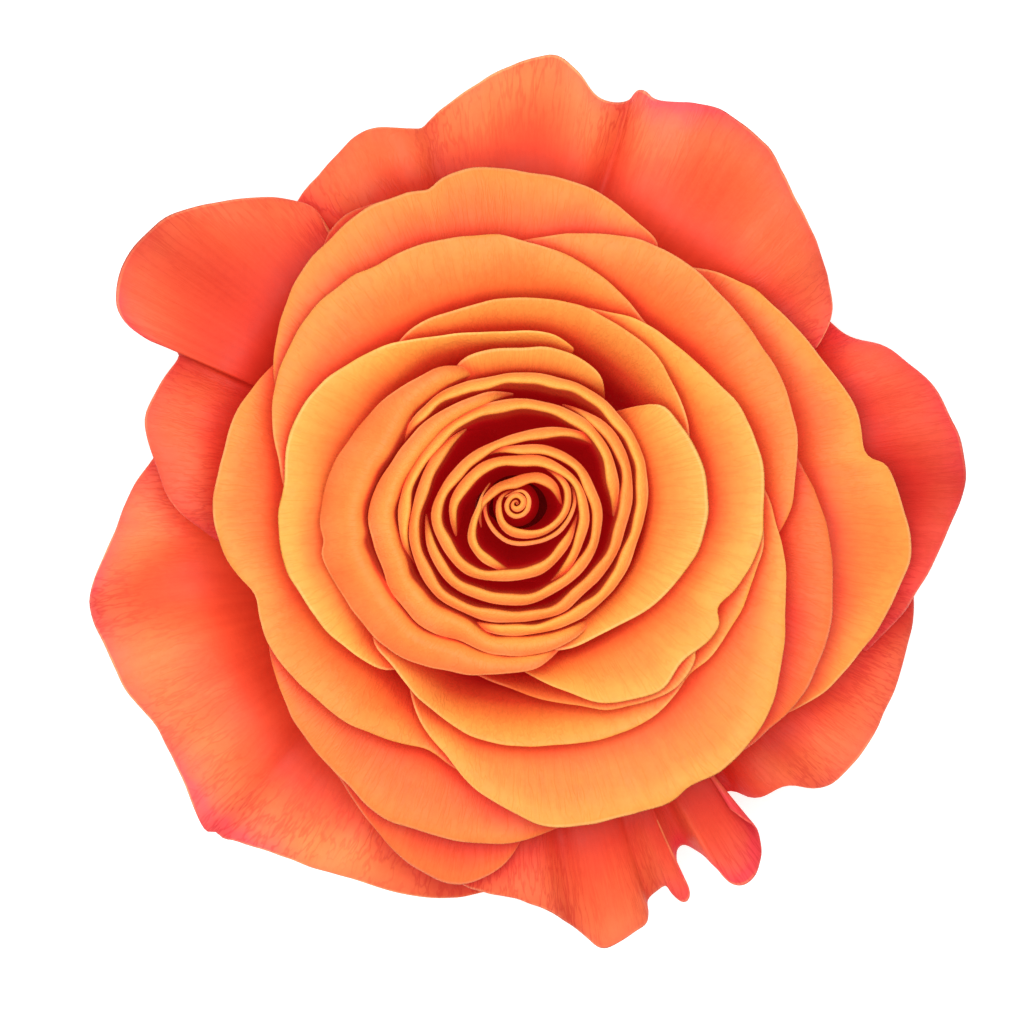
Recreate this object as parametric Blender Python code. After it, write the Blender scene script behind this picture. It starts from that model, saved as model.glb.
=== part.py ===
"""One open rose bloom, cut just under its hip and standing on the cut.

Every petal lies on one of a family of nested shells, like the skins of an onion that open outwards,
so that petals overlap in their layers and never cut through each other. The plan of each petal's
edge is given as points round the bloom, seen from above, and the shell gives the height there.
+Z is up along the bloom's axis and the origin is the middle of the cut end.
"""

import math

import bmesh
import bpy
import numpy as np

# Lengths in this script are millimetres, angles are degrees, and meshes are written in metres.
MM = 0.001

# Petal sheets
SHEET = 0.6              # thickness of a petal
CLAW_HALF_WIDTH = 1.6    # half the width of a petal where it is attached
FULL_WIDTH_AT = 0.92     # how far up a petal reaches its full width, as a share of its length
WOUND_LIP = 0.35         # how far the edge of a coiled petal flares
LIP_FROM = 0.88          # where a lip starts, as a share of the petal's length
ROWS = 8                 # quads along a petal
DEGREES_PER_COLUMN = 15  # width of a petal's quads, round the bloom
FEWEST_COLUMNS = 8

# The waves that run through all outer petals alike, by their radius
WAVE_START_RADIUS = 24.0
WAVE_HEIGHT = 1.3
BLOOM_RADIUS = 54.0

# Calyx
STUB_RADIUS = 3.2
STUB_HEIGHT = 3.0
HIP_RADIUS = 9.4
HIP_MIDDLE_HEIGHT = 8.4
CROWN_HEIGHT = 22.0
CALYX_SIDES = 24
SEPAL_COUNT = 5
SEPAL_THICKNESS = 1.0
SEPAL_HALF_WIDTH = 4.2

# Stamens and styles under the coil
STYLE_COLUMN_RADIUS = 0.8
TUFT_FOOT_HEIGHT = 22.4
TUFT_HEIGHT = 6.0
TUFT_RADIUS = 1.3
STAMEN_COUNT = 9
STAMEN_THICKNESS = 0.18
ANTHER_RADIUS = 0.4

# How slowly a petal opens from its claw to its full width: the power on its opening curve, by its shell
OPENING_SHELLS = (0.0, 8.0, 14.0, 22.0, 26.0)
OPENING_POWERS = (9.0, 5.0, 2.2, 1.9, 1.1)

# The family of shells. Each row is one shell's profile: its number, the radius and height of its foot,
# the radius and height of its far end, and for the foot and then the end, the lean from upright and
# how far that lean is held.
SHELLS = np.array([
    (0.0, 2.4, 22.8, 0.2, 55.0, -2.0, 15.0, -6.0, 12.0),
    (5.0, 3.6, 22.6, 5.0, 57.5, 4.0, 15.0, 1.0, 12.0),
    (10.0, 5.4, 21.6, 10.4, 58.4, 18.0, 15.0, 5.0, 13.0),
    (15.0, 7.2, 19.8, 16.8, 57.8, 44.0, 15.0, 18.0, 13.0),
    (20.0, 8.8, 17.4, 29.0, 54.2, 62.0, 17.0, 74.0, 14.0),
    (25.0, 10.0, 14.8, 43.0, 43.0, 68.0, 17.0, 106.0, 20.0),
    (30.0, 10.8, 12.0, 56.0, 27.0, 72.0, 16.0, 124.0, 24.0),
])

# Petals, from the coil outwards. A rim is the plan of the petal's edge from above, as (x, y) points
# taken counter-clockwise. A wound petal stands on the shells that end at its own rim; an open petal
# lies on the shells that its lay names, as (direction round the bloom, shell) pairs.
COIL = {
    "petal_coil_heart": dict(
        foot=155,
        rim=[(-0.4, -0.9), (0.5, -1.3), (1.4, -0.7), (1.5, 0.3), (1.0, 1.2), (0.1, 1.5)]),
    "petal_coil_hook": dict(
        foot=252,
        rim=[(-1.5, -0.2), (-1.6, -1.4), (-0.9, -2.5), (1.6, -3.5), (4.3, -2.8), (6.0, -0.6),
             (6.0, 2.0), (4.5, 3.9)]),
    "petal_coil_beak": dict(
        foot=75,
        rim=[(4.5, 2.2), (2.8, 3.4), (0.7, 3.3), (-2.6, 2.0), (-3.7, 1.0)]),
    "petal_coil_rim": dict(
        foot=-35,
        rim=[(-3.9, -0.3), (-3.8, -1.9), (-2.8, -3.7), (-0.4, -5.0), (2.9, -4.6), (5.6, -3.2),
             (7.3, -0.6), (7.2, 1.3)]),
    "petal_coil_band": dict(
        foot=205,
        rim=[(-4.9, 0.2), (-5.2, -1.9), (-5.7, -3.8), (-5.3, -5.6), (-3.8, -7.3)]),
    "petal_inner_top": dict(
        foot=20,
        rim=[(5.9, -8.6), (8.4, -4.2), (8.8, -1.2), (7.7, 2.5), (4.4, 5.4), (0.4, 5.8),
             (-4.4, 5.0), (-7.9, 0.8), (-8.2, -2.0)]),
    "petal_inner_right": dict(
        foot=-32,
        rim=[(-11.1, -3.3), (-10.1, -7.2), (-7.0, -10.5), (-2.0, -12.2), (3.2, -11.5),
             (8.1, -7.9), (10.1, -3.9), (10.2, -0.2), (8.0, 4.7), (3.0, 7.2), (-2.6, 6.7)]),
    "petal_inner_left": dict(
        foot=160,
        rim=[(8.6, 8.6), (4.2, 9.2), (-0.8, 8.4), (-6.7, 5.2), (-9.9, 0.5), (-9.9, -3.6),
             (-6.8, -8.0), (-2.0, -9.4), (2.8, -8.6), (6.2, -5.5), (7.2, -3.1)]),
    "petal_ring_bottom": dict(
        foot=-110,
        rim=[(-8.0, 8.2), (-11.4, 3.5), (-13.1, -3.7), (-11.9, -8.3), (-9.2, -11.9),
             (-4.4, -14.1), (0.4, -14.5), (5.2, -13.5), (8.0, -11.3), (10.8, -8.3),
             (13.0, -4.3), (14.2, 1.7), (13.4, 6.6), (10.6, 10.3), (7.8, 11.9)]),
    "petal_ring_top": dict(
        foot=110,
        rim=[(12.5, 0.5), (12.1, 4.1), (10.9, 7.5), (7.6, 10.8), (2.8, 12.6), (-2.0, 12.5),
             (-6.8, 10.8), (-11.3, 6.5), (-13.8, 2.4), (-14.5, -2.4), (-13.9, -6.0)]),
    "petal_second_ring": dict(
        foot=20,
        rim=[(-4.8, -15.5), (-0.8, -16.1), (5.0, -15.3), (10.2, -12.3), (13.9, -7.3),
             (16.0, 0.2), (15.6, 5.4), (12.4, 11.2), (7.5, 14.7), (2.8, 16.0), (-3.2, 15.7),
             (-8.8, 13.9), (-12.1, 11.2), (-13.9, 8.6)]),
}

OPEN = {
    "petal_broad_lip": dict(
        foot=215,
        rim=[(-2.5, 14.0), (-5.6, 13.2), (-10.7, 10.4), (-14.8, 6.1), (-17.7, 0.7), (-18.1, -3.1),
             (-16.1, -8.5), (-15.2, -10.9), (-11.6, -15.0), (-7.1, -16.6), (-4.4, -17.8), (-2.0, -18.4),
             (2.8, -18.1), (6.5, -16.8), (8.5, -15.5)],
        lay=[(100, 12.7), (120, 12.8), (180, 13.9), (225, 15.0), (255, 16.0), (299, 16.1)]),
    "petal_bright_right": dict(
        foot=-40,
        rim=[(-5.5, -16.2), (-2.0, -17.0), (2.8, -17.5), (6.8, -17.1), (12.5, -14.4), (17.5, -11.3),
             (21.4, -6.4), (23.0, -1.9), (23.1, 1.1), (21.8, 6.2), (18.5, 11.2), (14.8, 13.9)],
        lay=[(-109, 14.9), (-90, 15.0), (-60, 15.1), (-20, 15.6), (43, 16.2)]),
    "petal_under_ring": dict(
        foot=85,
        rim=[(16.0, 12.5), (14.3, 14.6), (9.7, 18.1), (2.8, 18.8), (-3.5, 18.4), (-9.1, 16.6), (-12.5, 13.0)],
        lay=[(37, 17.4), (60, 16.4), (90, 15.7), (134, 15.5)]),
    "petal_slit_left": dict(
        foot=180,
        rim=[(-6.5, 17.0), (-10.0, 16.2), (-15.2, 13.3), (-19.7, 8.6), (-22.6, 3.8), (-24.2, -2.3),
             (-23.3, -4.9), (-24.2, -5.4), (-23.0, -8.3), (-19.3, -14.2), (-14.0, -19.0), (-8.0, -20.4),
             (-4.4, -21.0), (2.0, -20.3), (6.0, -17.5)],
        lay=[(110, 16.7), (140, 16.4), (180, 16.1), (225, 16.7), (240, 17.4), (255, 18.3), (290, 18.5)]),
    "petal_upper_left": dict(
        foot=148,
        rim=[(7.0, 18.5), (3.4, 20.5), (-6.8, 20.3), (-14.8, 19.2), (-19.6, 17.2), (-25.1, 12.8),
             (-27.7, 6.7), (-27.9, 2.0), (-28.7, -1.9), (-27.9, -7.2), (-24.8, -12.7), (-21.2, -16.7),
             (-16.4, -19.7), (-12.5, -19.5)],
        lay=[(69, 16.9), (90, 16.9), (120, 17.8), (180, 17.8), (210, 18.2), (225, 19.3), (240, 19.5)]),
    "petal_pale_arm": dict(
        foot=55,
        rim=[(20.3, 5.0), (20.6, 8.5), (19.6, 12.5), (16.3, 18.2), (11.2, 22.0), (5.2, 24.4),
             (-2.0, 24.5), (-8.0, 23.0), (-12.8, 20.8), (-16.0, 16.5), (-17.0, 13.0)],
        lay=[(14, 17.8), (30, 17.9), (45, 18.3), (90, 18.5), (142, 19.3)]),
    "petal_bright_lower": dict(
        foot=-10,
        rim=[(-6.0, -16.5), (-1.6, -18.5), (4.0, -21.6), (9.2, -23.6), (12.1, -23.9), (17.6, -22.3),
             (19.6, -19.3), (23.8, -15.7), (24.7, -13.8), (23.8, -12.5), (26.5, -10.0), (29.2, -5.2),
             (29.8, 2.3), (28.9, 7.4), (26.2, 12.5), (20.8, 17.6), (15.7, 21.5), (9.1, 23.4),
             (4.5, 23.0), (2.0, 20.5)],
        lay=[(-110, 17.1), (-60, 17.2), (-20, 17.8), (0, 18.5), (45, 19.4), (85, 19.4)]),
    "petal_thin_strip": dict(
        foot=-92,
        rim=[(-7.0, -19.0), (-3.2, -21.0), (3.4, -23.4), (9.2, -24.4), (12.1, -24.6), (17.8, -22.9),
             (20.8, -20.3), (22.5, -16.5)],
        lay=[(-110, 18.7), (-100, 19.2), (-60, 19.0), (-36, 18.6)]),
    "petal_middle_lower": dict(
        foot=-42,
        rim=[(-17.0, -13.0), (-17.2, -16.3), (-14.8, -19.4), (-12.8, -22.0), (-8.0, -26.3), (-2.8, -28.7),
             (1.4, -29.0), (8.2, -28.6), (14.8, -26.6), (19.0, -23.0), (20.8, -20.3), (23.8, -17.8),
             (26.8, -13.0), (28.9, -7.7), (29.7, -3.1), (28.5, 1.5), (25.5, 5.0)],
        lay=[(-143, 18.0), (-135, 18.1), (-120, 18.8), (-105, 20.5), (-90, 20.6), (-40, 20.2), (11, 20.0)]),
    "petal_middle_upper": dict(
        foot=118,
        rim=[(17.5, 17.5), (15.7, 21.5), (9.1, 28.2), (0.8, 31.7), (-5.6, 32.3), (-13.6, 30.5),
             (-17.0, 28.4), (-20.5, 27.0), (-25.9, 21.6), (-29.0, 14.3), (-29.3, 10.1), (-28.0, 2.5),
             (-26.0, -1.5)],
        lay=[(45, 20.5), (90, 20.4), (150, 20.1), (184, 19.4)]),
    "petal_large_bottom": dict(
        foot=-75,
        rim=[(-12.4, -19.0), (-12.8, -22.0), (-11.5, -26.0), (-8.2, -30.5), (-4.4, -34.7), (1.3, -37.9),
             (5.2, -39.0), (11.0, -38.0), (16.3, -36.7), (19.3, -35.4), (19.8, -34.4), (24.1, -32.4),
             (28.9, -27.7), (31.5, -21.5), (32.3, -13.8), (32.2, -6.7), (30.7, -0.7), (29.0, 3.0),
             (26.0, 6.0)],
        lay=[(-124, 20.5), (-105, 21.7), (-60, 21.8), (-20, 21.3), (13, 21.2)]),
    "petal_middle_right": dict(
        foot=40,
        rim=[(27.5, -7.0), (31.6, -3.5), (33.5, 2.6), (33.4, 10.4), (30.8, 17.0), (27.2, 22.1),
             (23.5, 26.3), (17.8, 30.6), (10.4, 32.5), (0.8, 31.7), (-3.0, 29.5), (-5.0, 26.0)],
        lay=[(-15, 22.0), (10, 21.9), (60, 21.7), (100, 21.5)]),
    "petal_tall_upper_left": dict(
        foot=95,
        rim=[(15.0, 28.5), (17.2, 31.3), (12.4, 35.6), (9.1, 38.0), (3.7, 39.5), (-2.0, 40.4),
             (-7.0, 40.2), (-9.9, 38.5), (-10.7, 37.3), (-12.4, 37.6), (-17.6, 35.8), (-22.4, 32.0),
             (-26.8, 26.5), (-28.7, 20.3), (-29.2, 17.8), (-29.0, 14.3), (-27.0, 10.0)],
        lay=[(62, 22.9), (90, 22.7), (120, 22.0), (160, 21.4)]),
    "petal_left": dict(
        foot=200,
        rim=[(-27.0, 19.0), (-29.2, 16.6), (-32.9, 12.5), (-35.2, 6.5), (-36.5, -1.7), (-34.0, -7.9),
             (-31.3, -10.9), (-31.0, -12.6), (-30.2, -16.1), (-28.4, -19.0), (-23.6, -23.9),
             (-19.7, -26.6), (-15.5, -28.3), (-10.6, -29.4), (-7.0, -32.0), (-3.0, -31.5), (0.0, -28.0)],
        lay=[(145, 22.8), (180, 21.6), (225, 21.2), (240, 22.0), (255, 22.6), (270, 22.7)]),
    "petal_lower_left": dict(
        foot=240,
        rim=[(-29.5, -12.5), (-29.6, -17.6), (-27.8, -23.9), (-24.2, -29.8), (-21.0, -32.9),
             (-17.6, -36.7), (-13.4, -38.8), (-6.5, -40.6), (-1.1, -40.8), (5.0, -39.0), (9.0, -36.5),
             (11.0, -32.0)],
        lay=[(203, 22.8), (225, 22.9), (255, 23.7), (289, 23.8)]),
    "petal_right_upper": dict(
        foot=-20,
        rim=[(22.5, -30.5), (26.8, -29.9), (30.8, -26.8), (34.0, -23.5), (36.1, -19.9), (37.6, -15.4),
             (38.0, -11.5), (38.0, -6.7), (36.4, 0.4), (33.7, 5.4), (31.0, 9.5), (27.5, 12.5)],
        lay=[(-54, 22.9), (-10, 23.2), (24, 23.2)]),
    "petal_right_large": dict(
        foot=10,
        rim=[(27.0, -26.5), (32.5, -25.2), (36.8, -22.7), (40.0, -19.6), (43.9, -14.3), (46.9, -8.3),
             (47.5, -4.9), (46.6, -0.4), (44.6, 4.6), (43.2, 5.2), (41.9, 5.9), (40.9, 11.3),
             (36.2, 18.2), (29.6, 25.2), (26.8, 26.6), (22.4, 28.3), (17.0, 28.5)],
        lay=[(-44, 24.4), (0, 25.2), (60, 24.2)]),
    "petal_peeping_top": dict(
        foot=125,
        rim=[(-9.5, 33.5), (-12.5, 36.6), (-16.6, 36.2), (-19.7, 35.3), (-22.4, 32.8), (-24.0, 28.5)],
        lay=[(105, 23.8), (131, 24.2)]),
    "petal_peeping_bottom": dict(
        foot=258,
        rim=[(-25.5, -27.5), (-21.2, -33.1), (-17.5, -38.6), (-13.7, -42.6), (-9.4, -45.4), (-6.0, -45.6),
             (-1.5, -43.5), (1.5, -38.5)],
        lay=[(227, 24.4), (255, 25.2), (273, 25.4)]),
    "petal_guard_horn": dict(
        foot=155,
        rim=[(-22.8, 32.6), (-24.2, 35.6), (-28.0, 36.8), (-32.8, 36.8), (-38.3, 35.9), (-43.1, 34.0),
             (-46.9, 29.8), (-48.4, 25.0), (-46.7, 21.6), (-45.1, 20.5), (-43.0, 20.6), (-39.8, 20.5),
             (-40.6, 18.9), (-41.4, 17.0), (-44.6, 11.3), (-44.2, 7.3), (-41.7, 0.5), (-38.1, -2.9),
             (-35.6, -4.6)],
        lay=[(124, 25.8), (160, 25.8), (188, 25.2)]),
    "petal_guard_bottom": dict(
        foot=-66,
        rim=[(-9.3, -42.4), (-8.8, -43.9), (-6.8, -45.5), (-3.9, -46.7), (2.8, -48.4), (7.9, -51.7),
             (10.1, -53.4), (11.6, -53.2), (15.3, -50.9), (16.1, -49.4), (18.2, -46.6), (20.0, -48.0),
             (20.9, -47.2), (20.0, -44.0), (19.7, -40.8), (21.9, -42.4), (25.4, -45.6), (26.5, -46.0),
             (28.7, -44.6), (29.5, -41.4), (29.2, -39.6)],
        lay=[(-103, 26.6), (-53, 26.6)]),
    "petal_guard_top": dict(
        foot=80,
        rim=[(36.2, 18.8), (37.9, 22.7), (37.4, 27.8), (35.1, 33.8), (32.2, 39.6), (29.6, 43.8),
             (24.4, 47.5), (17.8, 48.4), (15.7, 49.2), (13.6, 48.5), (10.1, 48.8), (7.3, 52.1),
             (4.3, 54.2), (-0.8, 52.7), (-6.8, 49.3), (-10.7, 45.8), (-11.5, 44.9), (-12.3, 45.1),
             (-15.8, 45.4), (-19.1, 44.4), (-24.5, 38.9), (-27.6, 34.0), (-27.8, 29.5)],
        lay=[(27, 26.4), (80, 26.6), (133, 27.6)]),
    "petal_guard_right": dict(
        foot=5,
        rim=[(42.0, -17.9), (44.8, -15.0), (47.7, -11.5), (50.8, -5.8), (53.1, -0.4), (54.2, 3.6),
             (53.0, 8.8), (50.6, 13.7), (48.3, 16.1), (44.3, 19.1), (40.4, 20.0), (36.8, 22.5),
             (32.0, 24.0)],
        lay=[(-23, 26.8), (10, 27.4), (37, 28.4)]),
    "petal_guard_lower_right": dict(
        foot=-38,
        rim=[(16.5, -34.5), (20.3, -36.0), (24.2, -35.0), (26.0, -34.3), (28.6, -35.5), (32.6, -33.8),
             (35.5, -34.3), (37.9, -33.7), (40.3, -31.6), (43.6, -26.6), (46.4, -19.6), (47.8, -13.0),
             (47.3, -8.0), (44.0, -4.0)],
        lay=[(-65, 27.8), (-30, 27.6), (-5, 28.8)]),
    "petal_guard_lower_left": dict(
        foot=222,
        rim=[(-40.5, 9.5), (-43.7, 5.5), (-46.9, 0.5), (-48.7, -4.3), (-51.1, -9.5), (-51.4, -12.4),
             (-49.9, -16.4), (-46.7, -22.8), (-43.1, -27.1), (-40.3, -33.0), (-37.3, -39.7),
             (-36.1, -39.2), (-35.5, -40.4), (-34.0, -40.4), (-24.8, -43.6), (-17.5, -45.8),
             (-10.9, -47.4), (-3.9, -46.7), (0.5, -45.0), (3.0, -41.0)],
        lay=[(167, 28.2), (220, 28.4), (274, 28.4)]),
}

# Colours in linear light, with roughness
INNER_COLOUR = (1.0, 0.36, 0.10)
MIDDLE_COLOUR = (1.0, 0.24, 0.07)
GUARD_COLOUR = (0.95, 0.15, 0.08)
CALYX_COLOUR = (0.10, 0.20, 0.04)
STAMEN_COLOUR = (0.75, 0.48, 0.08)
PETAL_ROUGHNESS = 0.55


def smooth_through(knots, values, at):
    """Read a smooth curve without overshoot through (knots, values)."""
    step = np.diff(knots)
    slope = np.diff(values) / step
    tangent = np.empty(len(values))
    tangent[0] = slope[0]
    tangent[-1] = slope[-1]
    for i in range(1, len(values) - 1):
        if slope[i - 1] * slope[i] <= 0:
            tangent[i] = 0.0
        else:
            tangent[i] = 2 * slope[i - 1] * slope[i] / (slope[i - 1] + slope[i])
    at = np.clip(at, knots[0], knots[-1])
    i = np.clip(np.searchsorted(knots, at) - 1, 0, len(knots) - 2)
    t = (at - knots[i]) / step[i]
    return ((1 + 2 * t) * (1 - t) ** 2 * values[i] + t * (1 - t) ** 2 * step[i] * tangent[i]
            + t * t * (3 - 2 * t) * values[i + 1] + t * t * (t - 1) * step[i] * tangent[i + 1])


def shell_point(shell, t):
    """Radius and height on a shell's profile, a cubic Bezier curve; t runs from its foot (0) to its end (1)."""
    foot_r, foot_z, end_r, end_z, foot_lean, foot_hold, end_lean, end_hold = (
        smooth_through(SHELLS[:, 0], SHELLS[:, k], shell) for k in range(1, 9))
    foot_lean = np.radians(foot_lean)
    end_lean = np.radians(end_lean)
    weights = ((1 - t) ** 3, 3 * t * (1 - t) ** 2, 3 * t * t * (1 - t), t ** 3)
    radii = (foot_r, foot_r + foot_hold * np.sin(foot_lean), end_r - end_hold * np.sin(end_lean), end_r)
    heights = (foot_z, foot_z + foot_hold * np.cos(foot_lean), end_z - end_hold * np.cos(end_lean), end_z)
    radius = sum(weight * value for weight, value in zip(weights, radii))
    height = sum(weight * value for weight, value in zip(weights, heights))
    return radius, height


def curve_through(points, samples):
    """Evenly spaced samples of a smooth curve through the points of a rim."""
    points = np.array(points, float)
    ends = np.vstack([2 * points[0] - points[1], points, 2 * points[-1] - points[-2]])
    fine = []
    for i in range(1, len(ends) - 2):
        before, start, finish, after = ends[i - 1:i + 3]
        for s in np.linspace(0, 1, 16, endpoint=False):
            fine.append(0.5 * (2 * start + (finish - before) * s
                               + (2 * before - 5 * start + 4 * finish - after) * s ** 2
                               + (3 * start - before - 3 * finish + after) * s ** 3))
    fine = np.array(fine + [points[-1]])
    length = np.concatenate([[0], np.cumsum(np.hypot(*np.diff(fine, axis=0).T))])
    wanted = np.linspace(0, length[-1], samples)
    return np.column_stack([np.interp(wanted, length, fine[:, k]) for k in (0, 1)])


def steady_directions(directions):
    """Directions for the inner part of a petal, which run on steadily where the rim turns back."""
    rising = np.maximum.accumulate(directions)
    falling = np.minimum.accumulate(directions[::-1])[::-1]
    steady = (rising + falling) / 2
    for _ in range(3):
        steady[1:-1] = (steady[:-2] + 2 * steady[1:-1] + steady[2:]) / 4
    return steady


def wave(direction, radius):
    """Height of the waves that all outer petals share, so that they stay nested."""
    share = np.clip((radius - WAVE_START_RADIUS) / (BLOOM_RADIUS - WAVE_START_RADIUS), 0, None)
    angle = np.radians(direction)
    return WAVE_HEIGHT * share ** 1.5 * (np.sin(7 * angle + 0.6) + 0.6 * np.sin(11 * angle + radius / 9))


def petal_grid(rim, lay, foot, rows, columns, lip):
    """Points of a petal's middle surface, rows from its foot to its rim."""
    outline = curve_through(rim, columns + 1)
    rim_radius = np.hypot(outline[:, 0], outline[:, 1])
    rim_direction = np.degrees(np.unwrap(np.arctan2(outline[:, 1], outline[:, 0])))
    steady = steady_directions(rim_direction)
    middle = (steady[0] + steady[-1]) / 2
    half_angle = (steady[-1] - steady[0]) / 2
    foot += 360 * round((middle - foot) / 360)

    def shell_at(direction):
        if lay:
            turned = direction - 360 * round((middle - (lay[0][0] + lay[-1][0]) / 2) / 360)
            knots = np.array([row[0] for row in lay], float)
            return smooth_through(knots, np.array([row[1] for row in lay], float), turned)
        radius = np.interp(direction, steady, rim_radius) - lip
        return np.interp(radius, SHELLS[:, 3], SHELLS[:, 0])

    rim_shell = shell_at(steady)
    reach = np.linspace(0, 1, 100)
    t_rim = np.empty(columns + 1)
    beyond = np.empty(columns + 1)
    for k in range(columns + 1):
        radii, _ = shell_point(np.full(reach.shape, rim_shell[k]), reach)
        t_rim[k] = np.interp(rim_radius[k], np.maximum.accumulate(radii), reach) if lay else 1.0
        beyond[k] = max(0.0, rim_radius[k] - radii[-1])
    end_lean = smooth_through(SHELLS[:, 0], SHELLS[:, 7], rim_shell)
    droop = np.minimum(0.0, 1 / np.tan(np.radians(np.maximum(end_lean, 5.0))))
    slowness = np.interp(float(np.mean(rim_shell)), OPENING_SHELLS, OPENING_POWERS)
    foot_radius = float(shell_point(shell_at(np.array([foot])), 0.0)[0][0])
    claw_share = min(1.0, math.degrees(CLAW_HALF_WIDTH / foot_radius) / half_angle)
    grid = np.empty((rows + 1, columns + 1, 3))
    for j in range(rows + 1):
        # Rows lie closer towards the rim, where the lip turns
        v = 1 - (1 - j / rows) ** 1.35
        opening = math.sin(math.pi / 2 * min(v / FULL_WIDTH_AT, 1.0)) ** slowness
        share = claw_share + (1 - claw_share) * opening
        turn = np.clip((v - 0.7) / 0.3, 0, 1) ** 2
        centre = foot + (middle - foot) * opening
        direction = centre + (steady - middle) * share + (rim_direction - steady) * turn
        radius, height = shell_point(shell_at(direction), v * t_rim)
        flare = 1 - math.cos(math.pi / 2 * np.clip((v - LIP_FROM) / (1 - LIP_FROM), 0, 1))
        radius = radius + beyond * flare
        height = height + beyond * droop * flare + wave(direction, radius)
        grid[j, :, 0] = radius * np.cos(np.radians(direction))
        grid[j, :, 1] = radius * np.sin(np.radians(direction))
        grid[j, :, 2] = height
    return grid


def grid_normals(grid):
    """Unit normals of a grid of points, on the side that the rows and columns turn to."""
    across = np.gradient(grid, axis=1)
    along = np.gradient(grid, axis=0)
    normals = np.cross(across, along)
    return normals / np.linalg.norm(normals, axis=2, keepdims=True)


def sheet_mesh(name, grid, thickness):
    """A closed sheet round a grid, split into triangles alike on both faces."""
    normals = grid_normals(grid)
    rows, columns = grid.shape[:2]
    mesh = bmesh.new()
    faces = []
    for side in (0.5, -0.5):
        points = (grid + normals * thickness * side) * MM
        faces.append([[mesh.verts.new(points[j, k]) for k in range(columns)] for j in range(rows)])
    front, back = faces
    for j in range(rows - 1):
        for k in range(columns - 1):
            for verts, turned in ((front, False), (back, True)):
                a, b = verts[j][k], verts[j][k + 1]
                c, d = verts[j + 1][k + 1], verts[j + 1][k]
                for triangle in ((a, b, c), (a, c, d)):
                    mesh.faces.new(triangle[::-1] if turned else triangle)
    border = [(0, k) for k in range(columns - 1)]
    border += [(j, columns - 1) for j in range(rows - 1)]
    border += [(rows - 1, k) for k in range(columns - 1, 0, -1)]
    border += [(j, 0) for j in range(rows - 1, 0, -1)]
    for i, (j, k) in enumerate(border):
        next_j, next_k = border[(i + 1) % len(border)]
        mesh.faces.new((front[j][k], back[j][k], back[next_j][next_k]))
        mesh.faces.new((front[j][k], back[next_j][next_k], front[next_j][next_k]))
    data = bpy.data.meshes.new(name)
    mesh.to_mesh(data)
    mesh.free()
    data.shade_smooth()
    return data


def material(name, colour, roughness):
    """A plain finish with a colour and a roughness."""
    made = bpy.data.materials.new(name)
    made.use_nodes = True
    shader = made.node_tree.nodes["Principled BSDF"]
    shader.inputs["Base Color"].default_value = (*colour, 1.0)
    shader.inputs["Roughness"].default_value = roughness
    shader.inputs["Metallic"].default_value = 0.0
    return made


def add_object(name, data, finish):
    """Put a mesh in the scene under its own name."""
    added = bpy.data.objects.new(name, data)
    data.materials.append(finish)
    bpy.context.scene.collection.objects.link(added)
    return added


def join_into(target, pieces):
    """Fuse pieces into target with one Boolean union and take the pieces away."""
    group = bpy.data.collections.new(target.name + "_pieces")
    for piece in pieces:
        group.objects.link(piece)
    union = target.modifiers.new("union", "BOOLEAN")
    union.operation = "UNION"
    union.operand_type = "COLLECTION"
    union.collection = group
    union.solver = "EXACT"
    bpy.context.view_layer.update()
    depsgraph = bpy.context.evaluated_depsgraph_get()
    fused = bpy.data.meshes.new_from_object(target.evaluated_get(depsgraph))
    target.modifiers.remove(union)
    target.data = fused
    for piece in pieces:
        bpy.data.objects.remove(piece)
    bpy.data.collections.remove(group)


def turned_mesh(name, profile, sides):
    """A closed turned solid from (radius, height) points, from its foot to its top."""
    mesh = bmesh.new()
    foot = mesh.verts.new((0, 0, profile[0][1] * MM))
    top = mesh.verts.new((0, 0, profile[-1][1] * MM))
    rings = []
    for radius, height in profile:
        ring = []
        for k in range(sides):
            angle = 2 * math.pi * k / sides
            ring.append(mesh.verts.new((radius * math.cos(angle) * MM, radius * math.sin(angle) * MM,
                                        height * MM)))
        rings.append(ring)
    for k in range(sides):
        n = (k + 1) % sides
        mesh.faces.new((foot, rings[0][n], rings[0][k]))
        mesh.faces.new((top, rings[-1][k], rings[-1][n]))
        for low, high in zip(rings[:-1], rings[1:]):
            mesh.faces.new((low[k], low[n], high[n], high[k]))
    data = bpy.data.meshes.new(name)
    mesh.to_mesh(data)
    mesh.free()
    data.shade_smooth()
    return data


def sepal_grid(direction):
    """Middle surface of one sepal: it leaves the shoulder, arches out and comes down to the floor."""
    rows, columns = 9, 4
    grid = np.empty((rows + 1, columns + 1, 3))
    path = curve_through([(6.6, 9.2), (10.4, 10.2), (14.8, 9.2), (18.6, 6.0), (21.2, 2.8), (23.4, 0.62)],
                         rows + 1)
    for j in range(rows + 1):
        v = j / rows
        width = SEPAL_HALF_WIDTH * (0.75 + 0.5 * v) * (1 - v) ** 0.55 + 0.7
        for k in range(columns + 1):
            across = 2 * k / columns - 1
            radius, height = path[j]
            # The blade is hollow along its midrib, and lies flatter where it meets the floor
            height += 0.9 * (1 - across ** 2) * (1 - v) - 0.45 * (1 - v)
            sideways = across * width
            angle = math.radians(direction)
            grid[j, k] = (radius * math.cos(angle) - sideways * math.sin(angle),
                          radius * math.sin(angle) + sideways * math.cos(angle),
                          max(height, SEPAL_THICKNESS / 2 + 0.02))
    return grid


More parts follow.
